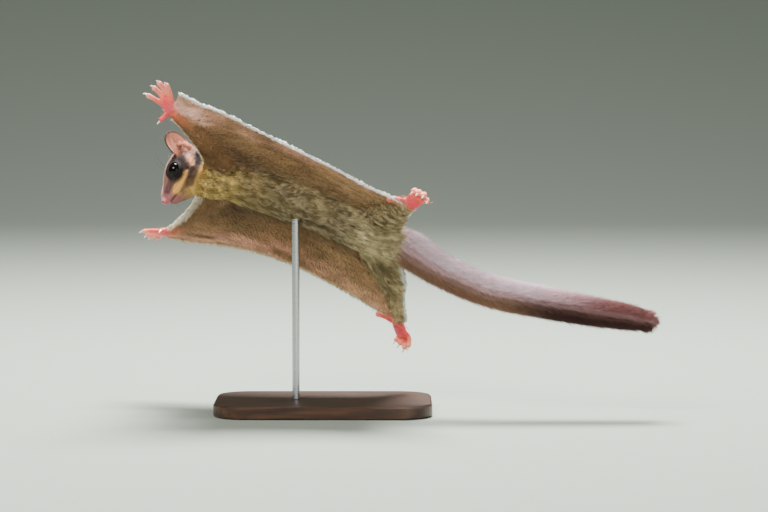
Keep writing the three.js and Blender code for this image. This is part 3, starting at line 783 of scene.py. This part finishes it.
hide, tree, shader = plain_finish("furred and bare skin", 0.8)
place = add_node(tree, "ShaderNodeTexCoord").outputs["Object"]
own_frame = add_node(
    tree,
    "ShaderNodeMapping",
    vector_type="TEXTURE",
    Vector=place,
    Location=tuple(FLIGHT_PLACE),
    Rotation=FLIGHT_ANGLES,
    Scale=(0.0034, 0.0006, 0.0006),
)
streaks = add_node(
    tree, "ShaderNodeTexNoise", Vector=own_frame.outputs["Vector"], Detail=3.0, Roughness=0.6, Scale=1.0
).outputs["Fac"]
creases = add_node(
    tree, "ShaderNodeTexVoronoi", feature="DISTANCE_TO_EDGE", Vector=place, Scale=1500.0
)
bare_share = add_node(tree, "ShaderNodeAttribute", attribute_name="bare").outputs["Fac"]
marked = add_node(tree, "ShaderNodeAttribute", attribute_name="marks_and_painted_light")
streak_tone = add_node(
    tree,
    "ShaderNodeMapRange",
    **{"Value": streaks, "From Min": 0.3, "From Max": 0.7, "To Min": 0.74, "To Max": 1.12},
)
toned = add_node(
    tree, "ShaderNodeVectorMath", operation="SCALE", Vector=marked.outputs["Color"],
    Scale=streak_tone.outputs["Result"],
)
shine = add_node(tree, "ShaderNodeMapRange", **{"Value": bare_share, "To Min": 0.85, "To Max": 0.48})
relief = add_node(
    tree, "ShaderNodeMix", data_type="FLOAT", Factor=bare_share, A=streaks,
    B=creases.outputs["Distance"],
)
nap = add_node(
    tree, "ShaderNodeBump", Strength=0.5, Distance=0.0004, Height=relief.outputs["Result"]
)
feed(tree, shader, {
    "Specular IOR Level": 0.3,
    "Base Color": toned.outputs["Vector"],
    "Roughness": shine.outputs["Result"],
    "Normal": nap.outputs["Normal"],
})
dress(skin, hide)

# The eyes: large glossy black balls, set in the sockets between dark lids. Each is a smooth ball
# in the place of the solid's.

eye_black, tree, shader = plain_finish(
    "wet black eye", 0.04, **{"Base Color": paint(8, 5, 5), "Specular IOR Level": 0.17}
)
for side, word in ((1, "left"), (-1, "right")):
    centre = from_head(EYE_AT * (1, side, 1))
    eye = mesh_object(f"eyeball_{word}", *ball_shape(centre, EYE_RADIUS / 1000, 28, 44))
    eye.data.materials.append(eye_black)
    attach(eye, "root")
    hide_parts(f"eye_{word}")

# The claws: thin hooks of pale horn under a slight gloss. They keep the solids' own meshes, which
# are rooted in the ends of the digits.

horn, tree, shader = plain_finish("pale horn", 0.3)
place = add_node(tree, "ShaderNodeTexCoord").outputs["Object"]
grain = add_node(tree, "ShaderNodeTexNoise", Vector=place, Scale=900.0, Detail=2.0)
horn_colour = colour_ramp(
    tree, grain.outputs["Fac"], ((0.35, (214, 196, 184)), (0.65, (242, 234, 226)))
)
feed(tree, shader, {"Base Color": horn_colour, "Coat Weight": 0.4})
for name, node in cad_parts.items():
    if name.startswith("claw_"):
        dress(node, horn)

# The coat: fine tapered tufts that grow from the skin, lie along the body and gather into locks.
# Every tuft is a closed sliver of a few faces, with its colour taken from the markings at its
# root, darker at the root as painted shade deep in the coat and paler at the tip as painted highlight.

coat_finish, tree, shader = plain_finish("soft coat", 0.72)
marked = add_node(tree, "ShaderNodeAttribute", attribute_name="marks_and_painted_light")
feed(tree, shader, {"Specular IOR Level": 0.28, "Base Color": marked.outputs["Color"]})

NOSE_TIP = np.array((24.5, 0.0, -2.0))


def along_chain(body, chain):
    """The direction of the nearest piece of a bent line, at each point."""
    chain = [np.asarray(place, float) for place in chain]
    reach = np.stack([distance_to_line(body, a, b) for a, b in zip(chain, chain[1:])])
    ways = np.stack([(b - a) / np.linalg.norm(b - a) for a, b in zip(chain, chain[1:])])
    pull = np.exp(-reach / 4.0)
    return np.einsum("kn,kj->nj", pull / pull.sum(0), ways)


def limb_way(body, lines):
    """The direction along the limb of each place's own side."""
    return np.where(body[:, 1:2] > 0, along_chain(body, lines[1]), along_chain(body, lines[-1]))


def laid_flat(ways, outward):
    """Directions laid along the surface, at a length of one."""
    return unit(ways - np.einsum("ij,ij->i", ways, outward)[:, None] * outward)


def lie_of_coat(points, outward, shares):
    """Which way the hair lies at each root: from the nose to the tail, out along the limbs, and
    out and back on the gliding skin."""
    body = to_body(points)
    side = np.where(body[:, 1] > 0, 1.0, -1.0)
    still = np.zeros(len(body))
    along = down_tail(body[:, 0])
    stations = np.linspace(0, 1, 41)
    slope = TAIL_SAG * np.gradient(np.interp(stations, TAIL_SHARES, TAIL_DROPS), 1 / 40)
    down = np.interp(along, stations, slope) / TAIL_LENGTH
    arms, legs = limb_way(body, ARM_LINES), limb_way(body, LEG_LINES)
    from_nose = unit((to_head(body) - NOSE_TIP) @ HEAD_AXES)
    flow = {
        "body": np.stack((still - 1, 0.14 * side, still), axis=1),
        "tail": np.stack((still - 1, still, -down), axis=1),
        "membranes": np.stack((still - 0.8, 0.6 * side, still), axis=1),
        "arms": arms + (-0.5, 0, 0),
        "legs": 0.7 * legs + (-0.9, 0, 0),
        "head": from_nose,
        "ears": np.broadcast_to(HEAD_AXES[2], body.shape),
        "hands": arms,
        "feet": legs,
    }
    lie = sum(shares[region][:, None] * flow[region] for region in flow)
    lie = laid_flat(lie @ FLIGHT_TURN.T, outward)
    swirl = (cloudy(body, 8.0, 5.0) - 0.5) * 0.9 + (cloudy(body, 2.2, 9.0) - 0.5) * 0.4
    calm = shares["membranes"] + shares["tail"] + 0.6 * shares["legs"]
    return turned(lie, outward, swirl * (1 - 0.7 * calm))


def turned(lie, outward, angle):
    """Directions on the surface turned about the way out of it."""
    across = np.cross(outward, lie)
    return np.cos(angle)[:, None] * lie + np.sin(angle)[:, None] * across


def chart_place(body, outward, shares):
    """Each root's place on a flat lay-out of the skin: belly side, back, tail and head apart."""
    x, y, z = body.T
    flat = np.stack((0.02 + 0.46 * (x + 100) / 210, 0.32 + 0.44 * (y + 95) / 190), axis=1)
    flat[:, 0] += np.where(outward[:, 2] > 0, 0.5, 0)
    along = down_tail(x)
    middle = -TAIL_SAG * np.interp(along, TAIL_SHARES, TAIL_DROPS)
    head = to_head(body)
    tail_turn, head_turn = (
        np.arctan2(up, out) / (2 * math.pi) + 0.5
        for up, out in ((z - middle, y), (head[:, 1], head[:, 2]))
    )
    forward = np.clip((head[:, 0] + 16) / 42, 0, 1)
    tail = np.stack((0.01 + 0.58 * along, 0.02 + 0.24 * tail_turn), axis=1)
    face = np.stack((0.64 + 0.34 * forward, 0.02 + 0.24 * head_turn), axis=1)
    flat = np.where((shares["tail"] > 0.5)[:, None], tail, flat)
    return np.where((shares["head"] + shares["ears"] > 0.5)[:, None], face, flat)


def scattered_roots(count, weight, seed):
    """Random places on the skin, thicker where the weight of its triangles is greater."""
    chance = np.random.default_rng(seed)
    corner = skin_points[skin_faces]
    heap = np.cumsum(np.linalg.norm(face_normals(corner), axis=1) * weight)
    chosen = np.searchsorted(heap, chance.random(count) * heap[-1]).clip(0, len(heap) - 1)
    u, v = chance.random((2, count))
    over = u + v > 1
    u, v = np.where(over, 1 - u, u), np.where(over, 1 - v, v)
    shares = np.stack((1 - u - v, u, v), axis=1)[:, :, None]
    points = (corner[chosen] * shares).sum(1)
    outward = (skin_outward[skin_faces[chosen]] * shares).sum(1)
    return points, unit(outward)


LOCK_REACH = 0.003


def varied(chance, count, least, more):
    """A random share for each tuft, from the least to that much more."""
    return least + more * chance.random(count)


def gathered(roots, tips, spacing, pull, seed):
    """The tips drawn towards those of the locks they belong to."""
    chance = np.random.default_rng(seed)
    order = chance.permutation(len(roots))
    locks = order[: max(1, int(len(roots) / spacing))]
    tree = kdtree.KDTree(len(locks))
    for number, lock in enumerate(locks):
        tree.insert(roots[lock], number)
    tree.balance()
    own = locks[[tree.find(root)[1] for root in roots]]
    share = pull * varied(chance, len(roots), 0.55, 0.45)
    share *= np.exp(-((np.linalg.norm(roots[own] - roots, axis=1) / LOCK_REACH) ** 2))
    return tips + share[:, None] * (tips[own] - tips), own


# The shape of a tuft: how far its root is sunk, how its hairs differ, and its faces, shades and
# places on the chart, ring by ring, for a bent tuft and for a straight one.

SINK, STRAY, LENGTHS, LIFTS, WIDTHS = 0.0003, 0.13, (0.72, 0.5), (0.75, 0.5), (0.8, 0.4)
TIP_LIFT, LOCK_BEND, CHART_PATCH = 0.35, 0.3, 0.0013
BENT_FACES = ((0, 2, 1), (0, 1, 4), (0, 4, 3), (1, 2, 5), (1, 5, 4), (2, 0, 3), (2, 3, 5),
              (3, 4, 6), (4, 5, 6), (5, 3, 6))
BENT_CHART = ((-1, -1), (1, -1), (0, -1), (-1, 0.2), (1, 0.2), (0, 0.2), (0, 1))
STRAIGHT_FACES = ((0, 2, 1), (0, 1, 3), (1, 2, 3), (2, 0, 3))
STRAIGHT_CHART = ((-1, -1), (1, -1), (0, -1), (0, 1))


def coat_of(name, roots, outward, length, width, lift, spacing, pull, seed, finish="body_fur",
            lie=None, bent=True, tint=None, shade=0.16, root_shade=0.62, tip_highlight=0.0):
    """One piece of the coat, on the roots given. Lengths and widths are in metres, lift is how
    steeply a tuft leaves the skin, spacing how many tufts make a lock and pull how closely."""
    chance, count = np.random.default_rng(seed), len(roots)
    shares = region_shares(roots)
    if lie is None:
        lie = lie_of_coat(roots, outward, shares)
    lie = turned(lie, outward, chance.normal(0, STRAY, count))
    length = length * varied(chance, count, *LENGTHS)
    lift = lift * varied(chance, count, *LIFTS)

    def half_on(start, slope):
        """The place half a tuft further on, at a slope from the skin."""
        way = np.cos(slope)[:, None] * lie + np.sin(slope)[:, None] * outward
        return start + way * (0.5 * length)[:, None]

    middles = half_on(roots, lift)
    tips = half_on(middles, lift * TIP_LIFT)
    drawn, own = gathered(roots, tips, spacing, pull, seed + 1)
    middles = middles + LOCK_BEND * (drawn - tips)
    tips = drawn
    growth = unit(tips - roots)
    across = unit(np.cross(growth, outward))
    upright = np.cross(growth, across)
    width = width * varied(chance, count, *WIDTHS)
    turn = chance.random(count) * 2 * math.pi
    rings = []
    for centre, half in ((roots - SINK * outward, 0.5), (middles, 0.42))[: 2 if bent else 1]:
        for side in range(3):
            angle = turn + side * 2 * math.pi / 3
            rings.append(
                centre + (width * half)[:, None]
                * (np.cos(angle)[:, None] * across + np.sin(angle)[:, None] * upright)
            )
    points = np.stack((*rings, tips), axis=1)
    pattern, chart = (BENT_FACES, BENT_CHART) if bent else (STRAIGHT_FACES, STRAIGHT_CHART)
    # painted shade and painted highlight: each tuft darker at its root, deep in the coat, and brighter at
    # its tip
    if bent:
        tones = (root_shade,) * 3 + (1.0,) * 3 + (1.25,)
    else:
        tones = (root_shade + 0.12,) * 3 + (1.2,)
    faces = np.arange(count)[:, None, None] * len(tones) + np.array(pattern)
    faces = faces.reshape(-1, 3)
    colour = marks_and_painted_light(roots, outward) if tint is None else np.broadcast_to(tint, (count, 3))
    lock_tone = 1 + shade * (2 * chance.random(count) - 1)[own]
    own_tone = 1 + 0.1 * (2 * chance.random(count) - 1)
    colour = colour * (lock_tone * own_tone)[:, None]
    colour = (colour[:, None, :] * np.array(tones)[:, None]).clip(0, 1)
    # painted highlight: the tips of some tufts in the brighter locks blended towards a pale cream
    pale = tip_highlight * (lock_tone > 1) * chance.random(count)
    colour[:, -1] += pale[:, None] * (paint(226, 216, 196)[:3] - colour[:, -1])
    made = mesh_object(name, points.reshape(-1, 3), faces)
    colour_points(made.data, "marks_and_painted_light", colour.reshape(-1, 3))
    places = chart_place(to_body(roots), outward @ FLIGHT_TURN, shares)
    laid = (places[:, None, :] + CHART_PATCH * np.array(chart)).reshape(-1, 2)
    bake = made.data.uv_layers.new(name="OFBake")
    bake.data.foreach_set("uv", laid[faces.ravel()].astype(np.float32).ravel())
    made.data.materials.append(coat_finish)
    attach(made, "root")


# Where the coat may grow: nowhere on the eyes, the lids and the nose, and not where the rod of the
# stand goes in.

triangle_middle = skin_points[skin_faces].mean(1)
middle_outward = skin_outward[skin_faces].mean(1) @ FLIGHT_TURN
triangle_share = region_shares(triangle_middle)
middle_body = to_body(triangle_middle)
middle_head = on_left_side(to_head(middle_body))
EYE_BARE, NOSE_BARE, ROD_BARE = 7.3, 3.7, 0.0032
grown_over = np.ones(len(skin_faces))
grown_over[np.linalg.norm(middle_head - EYE_AT, axis=1) < EYE_BARE] = 0
grown_over[np.linalg.norm(middle_head - NOSE_AT, axis=1) < NOSE_BARE] = 0
rod_low, rod_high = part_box("stand_rod")
rod_middle = (np.array(rod_low) + np.array(rod_high)) / 2
from_rod = np.linalg.norm((triangle_middle - rod_middle)[:, :2], axis=1)
grown_over[(from_rod < ROD_BARE) & (middle_outward[:, 2] < 0)] = 0
belly_side = rise(0.45, -0.1, middle_outward[:, 2])
back_side = rise(-0.2, 0.35, middle_outward[:, 2])

# The belly and throat: the longest and loosest fur, in locks a few millimetres wide that lie
# towards the tail, with painted shade dark at their roots and a painted highlight pale at some of
# their tips. It is shorter up to the cheeks.

middle_x = middle_body[:, 0]
SHAGGY = {"spacing": 20, "pull": 0.74, "shade": 0.42, "tip_highlight": 0.6}
for word, count, weight, seed in (
    ("throat", 13000, rise(34, 40, middle_x), 21),
    ("belly", 19900, rise(38, 32, middle_x), 23),
):
    weight = grown_over * belly_side * triangle_share["body"] * weight
    roots, outward = scattered_roots(count, weight, seed)
    from_face = np.linalg.norm(to_body(roots) - HEAD_AT, axis=1)
    length = 0.0018 + 0.0066 * rise(14, 38, from_face)
    coat_of(f"coat_{word}", roots, outward, length, 0.0004, 0.5, seed=seed + 1, root_shade=0.36, **SHAGGY)

# The back: close blue-grey fur with the dark stripe, a little shorter than the belly's.

roots, outward = scattered_roots(20000, grown_over * back_side * triangle_share["body"], 31)
coat_of("coat_back", roots, outward, 0.0056, 0.00046, 0.4, 9, 0.55, 32, bent=False)

# The tail: even soft fur all round, brushed to the tip, dark towards its end and darkest below it,
# where painted shade lies over the dark fur. It is finer than the coat of the body, stands off more,
# and has longer guard hairs in it.

tail_reach = down_tail(middle_x)
for word, weight, seed in (
    ("root", rise(0.52, 0.48, tail_reach), 41),
    ("tip", rise(0.46, 0.50, tail_reach) * (1 + rise(0.8, 1.0, tail_reach)), 43),
):
    roots, outward = scattered_roots(26000, grown_over * triangle_share["tail"] * weight, seed)
    at_tip = rise(0.955, 0.995, down_tail(to_body(roots)[:, 0]))
    coat_of(f"coat_tail_{word}", roots, outward, 0.0068, 0.00034, 0.74 + 0.6 * at_tip, 7, 0.4,
            seed + 1, "tail_fur", bent=False, shade=0.2, root_shade=0.7)
roots, outward = scattered_roots(9000, grown_over * triangle_share["tail"], 45)
coat_of("coat_tail_guard_hairs", roots, outward, 0.0092, 0.00022, 0.75, 3, 0.2, 46, "tail_fur",
        bent=False, shade=0.25, root_shade=0.8)

# The arms: short fur that runs to the wrist and thins out before the bare skin.

roots, outward = scattered_roots(18000, grown_over * triangle_share["arms"], 51)
arm_length = 0.0038 - 0.0018 * rise(48, 66, np.abs(to_body(roots)[:, 1]))
coat_of("coat_arms", roots, outward, arm_length, 0.0004, 0.42, 12, 0.6, 52, bent=False, shade=0.2)

# The legs: loose shaggy fur on the thighs, in locks that turn to the tail, shorter on the shanks.

roots, outward = scattered_roots(13000, grown_over * triangle_share["legs"], 53)
leg_length = 0.0072 - 0.0042 * rise(26, 62, np.abs(to_body(roots)[:, 1]))
coat_of("coat_legs", roots, outward, leg_length, 0.0004, 0.44, seed=54, root_shade=0.38, **SHAGGY)

# The pale ruffs: loose cream hair that stands off the front of each arm and the back of each leg
# and catches the light along their outlines. The near-white of the legs' ruffs is painted rim light,
# and the cream of the arms' is their pale fur brightened with painted light.

on_left = middle_body[:, 1] > 0
forward = middle_outward[:, 0]
ruff_side = triangle_share["arms"] * np.where(
    on_left, rise(0.6, 0.9, forward), rise(0.3, 0.75, forward)
)
ruff_side += triangle_share["legs"] * rise(-0.6, -0.9, forward)
roots, outward = scattered_roots(4500, grown_over * ruff_side, 55)
coat_of("coat_ruffs", roots, outward, 0.0036, 0.00034, 0.8, 9, 0.6, 56, shade=0.08, root_shade=0.9)

# The gliding skin: fine fur that lies flat, short at the free edge and longer towards the body.

for word, weight, count, near, seed in (
    ("under_left", belly_side * on_left, 45000, 0.0044, 61),
    ("under_right", belly_side * ~on_left, 45000, 0.0044, 62),
    ("upper", back_side, 30000, 0.0020, 63),
):
    roots, outward = scattered_roots(count, grown_over * weight * triangle_share["membranes"], seed)
    body = to_body(roots)
    away = np.abs(body[:, 1]) / np.interp(body[:, 0], EDGE_X, EDGE_Y)
    length = 0.0024 + near * rise(0.62, 0.2, away)
    coat_of(f"coat_membranes_{word}", roots, outward, length, 0.00027, 0.24, 8, 0.5, seed + 100,
            "membrane_fur", bent=False, shade=0.26, root_shade=0.7, tip_highlight=0.35)

# The fringe of the gliding skin: a narrow, dense and crinkled band of hair along the left free edge,
# where it faces the viewer, tinted pure white as painted rim light over its pale colour, and a finer
# and yellower one along the right.

edge_reach = from_edge(middle_body)
for word, side, count, length, width, lift, lock, waves, tint, seed in (
    ("left", 1, 9000, 0.0022, 0.00032, 0.75, 22, 3.0, paint(255, 254, 250)[:3], 65),
    ("right", -1, 8000, 0.0042, 0.00024, 0.3, 4, 0.6, paint(216, 186, 140)[:3], 67),
):
    weight = triangle_share["membranes"] * rise(1.7, 0.9, edge_reach) * (middle_body[:, 1] * side > 0)
    roots, outward = scattered_roots(count, weight, seed)
    outer = np.stack((np.full(count, -0.5), np.full(count, float(side)), np.zeros(count)), axis=1)
    outer = laid_flat(outer @ FLIGHT_TURN.T, outward)
    outer = turned(outer, outward, (cloudy(to_body(roots), 2.4, seed) - 0.5) * waves)
    coat_of(f"coat_fringe_{word}", roots, outward, length, width, lift, lock, 0.7, seed + 1,
            "membrane_fur", lie=outer, bent=False, tint=tint, shade=0.1, root_shade=0.85)

# The head: the shortest and finest tufts, longer on the cheeks and the back of the head.

roots, outward = scattered_roots(28000, grown_over * triangle_share["head"], 71)
head_place = to_head(to_body(roots))
head_length = 0.0009 + 0.0021 * rise(14, -8, head_place[:, 0])
coat_of("coat_head", roots, outward, head_length, 0.00026, 0.34, 6, 0.4, 72, bent=False, shade=0.1,
        root_shade=0.7)

# The whiskers: stiff dark hairs from the pads beside the nose, and a few from over the eyes. Each
# follows its own bent line, and a node tree gives it a round section that thins to the tip. Each
# row holds a root, a heading and a length, for the left side.

WHISKER_PADS = (
    ((17.5, 4.4, -2.6), (0.25, 1.0, -0.10), 20.0),
    ((18.5, 4.0, -3.8), (0.35, 1.0, -0.30), 18.0),
    ((16.5, 4.9, -3.9), (0.10, 1.0, -0.25), 23.0),
    ((15.0, 5.2, -3.0), (-0.05, 1.0, -0.05), 25.0),
    ((15.2, 5.2, -4.8), (0.00, 1.0, -0.45), 21.0),
    ((13.5, 5.8, -4.0), (-0.20, 1.0, -0.25), 24.0),
    ((19.6, 3.2, -2.6), (0.55, 1.0, 0.05), 14.0),
    ((7.0, 7.2, 8.6), (0.30, 0.6, 1.00), 13.0),
    ((5.4, 8.0, 8.8), (0.10, 0.7, 1.00), 15.0),
)
WHISKER_BEND, WHISKER_DROP, WHISKER_STEPS = 0.32, 0.1, 10

whisker_points, whisker_edges = [], []
for root, aim, reach in WHISKER_PADS:
    for side in (1, -1):
        heading = np.array(aim) * (1, side, 1)
        heading = heading / np.linalg.norm(heading)
        for step in range(WHISKER_STEPS + 1):
            share = step / WHISKER_STEPS
            place = np.array(root) * (1, side, 1) + heading * reach * share
            bend, drop = WHISKER_BEND * reach * share ** 2, WHISKER_DROP * reach * share ** 2
            place = place - np.array((bend, 0, drop))
            if step:
                whisker_edges.append((len(whisker_points) - 1, len(whisker_points)))
            whisker_points.append(from_head(place))

whisker_hair, tree, shader = plain_finish("dark whisker", 0.4, **{"Base Color": paint(52, 42, 40)})

grow = bpy.data.node_groups.new("round hairs along lines", "GeometryNodeTree")
grow.interface.new_socket("Lines", in_out="INPUT", socket_type="NodeSocketGeometry")
for socket_name, thickness in (("Root radius", 0.00011), ("Tip radius", 0.00002)):
    socket = grow.interface.new_socket(socket_name, in_out="INPUT", socket_type="NodeSocketFloat")
    socket.default_value = thickness
grow.interface.new_socket("Hairs", in_out="OUTPUT", socket_type="NodeSocketGeometry")
given = add_node(grow, "NodeGroupInput")
as_curve = add_node(grow, "GeometryNodeMeshToCurve", Mesh=given.outputs["Lines"])
along_line = add_node(grow, "GeometryNodeSplineParameter")
thinner = add_node(grow, "ShaderNodeMapRange", **{
    "Value": along_line.outputs["Factor"],
    "To Min": given.outputs["Root radius"],
    "To Max": given.outputs["Tip radius"],
})
section = add_node(grow, "GeometryNodeCurvePrimitiveCircle", Resolution=5, Radius=1.0)
hairs = add_node(grow, "GeometryNodeCurveToMesh", **{
    "Curve": as_curve.outputs["Curve"],
    "Profile Curve": section.outputs["Curve"],
    "Scale": thinner.outputs["Result"],
    "Fill Caps": True,
})
realize = add_node(grow, "GeometryNodeRealizeInstances", Geometry=hairs.outputs["Mesh"])
finish = add_node(
    grow, "GeometryNodeSetMaterial", Geometry=realize.outputs["Geometry"], Material=whisker_hair
)
add_node(grow, "NodeGroupOutput", Hairs=finish.outputs["Geometry"])

whisker_mesh = bpy.data.meshes.new("whiskers")
whisker_mesh.from_pydata([tuple(point) for point in whisker_points], whisker_edges, [])
whiskers = bpy.data.objects.new("whiskers", whisker_mesh)
bpy.context.scene.collection.objects.link(whiskers)
growing = whiskers.modifiers.new("round hairs", "NODES")
growing.node_group = grow
for item in grow.interface.items_tree:
    if item.in_out == "INPUT" and item.name == "Root radius":
        growing[item.identifier] = 0.00012
whiskers.update_tag()
keep_result(whiskers, growing)
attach(whiskers, "root")

# The room for the picture: a pale floor that runs up into a smooth wall, soft lights and the
# camera. The lens is long and stands off as far as it would from a gliding animal.

room_paint, tree, shader = plain_finish(
    "pale room paint", 0.9, **{"Base Color": paint(150, 158, 148)}
)
ROOM_WIDTH = 16.0
COVE_RADIUS = 1.4
ROOM_FRONT, ROOM_BACK, ROOM_TOP = -12.0, 3.6, 4.5
profile = [(ROOM_FRONT, 0.0)]
for turn in range(25):
    angle = math.radians(90 * turn / 24)
    profile.append(
        (ROOM_BACK - COVE_RADIUS + COVE_RADIUS * math.sin(angle), COVE_RADIUS * (1 - math.cos(angle)))
    )
profile.append((ROOM_BACK, ROOM_TOP))
room_corners = [(side * ROOM_WIDTH / 2, y, z) for y, z in profile for side in (1, -1)]
room_faces = [(2 * i, 2 * i + 2, 2 * i + 3, 2 * i + 1) for i in range(len(profile) - 1)]
room_mesh = bpy.data.meshes.new("room")
room_mesh.from_pydata(room_corners, [], room_faces)
room_mesh.materials.append(room_paint)
for face in room_mesh.polygons:
    face.use_smooth = True
room = bpy.data.objects.new("room", room_mesh)
bpy.context.scene.collection.objects.link(room)


def soft_light(name, at, towards, size, power, tint=(1.0, 1.0, 1.0)):
    """A square lamp that faces a point."""
    lamp = bpy.data.lights.new(name, "AREA")
    lamp.shape = "SQUARE"
    lamp.size = size
    lamp.energy = power
    lamp.color = tint
    held = bpy.data.objects.new(name, lamp)
    held.location = at
    held.rotation_euler = (Vector(towards) - Vector(at)).to_track_quat("-Z", "Y").to_euler()
    bpy.context.scene.collection.objects.link(held)


MODEL_MIDDLE = (0.04, 0.0, 0.14)
soft_light("key light", (-0.7, -1.3, 1.3), MODEL_MIDDLE, 0.6, 38.0, (1.0, 0.98, 0.94))
soft_light("top light", (0.1, 0.5, 1.5), MODEL_MIDDLE, 0.6, 125.0, (1.0, 0.99, 0.98))
soft_light("fill light", (0.9, -1.6, 0.2), MODEL_MIDDLE, 1.4, 13.0, (0.98, 1.0, 0.96))

world = bpy.data.worlds.new("room air")
world.use_nodes = True
world.node_tree.nodes["Background"].inputs["Color"].default_value = (0.80, 0.86, 0.80, 1.0)
world.node_tree.nodes["Background"].inputs["Strength"].default_value = 0.3
bpy.context.scene.world = world

CAMERA_RISE = math.radians(4)
CAMERA_BACK = 2.0
camera_data = bpy.data.cameras.new("camera")
camera_data.sensor_width = 36
camera_data.lens = 135.9
camera_data.clip_start, camera_data.clip_end = 0.1, 20
camera = bpy.data.objects.new("camera", camera_data)
aim = Vector((0.04193, -0.00221, 0.10836))
camera.location = aim + CAMERA_BACK * Vector((0, -math.cos(CAMERA_RISE), math.sin(CAMERA_RISE)))
camera.rotation_euler = (math.radians(90) - CAMERA_RISE, 0, 0)
bpy.context.scene.collection.objects.link(camera)
bpy.context.scene.camera = camera
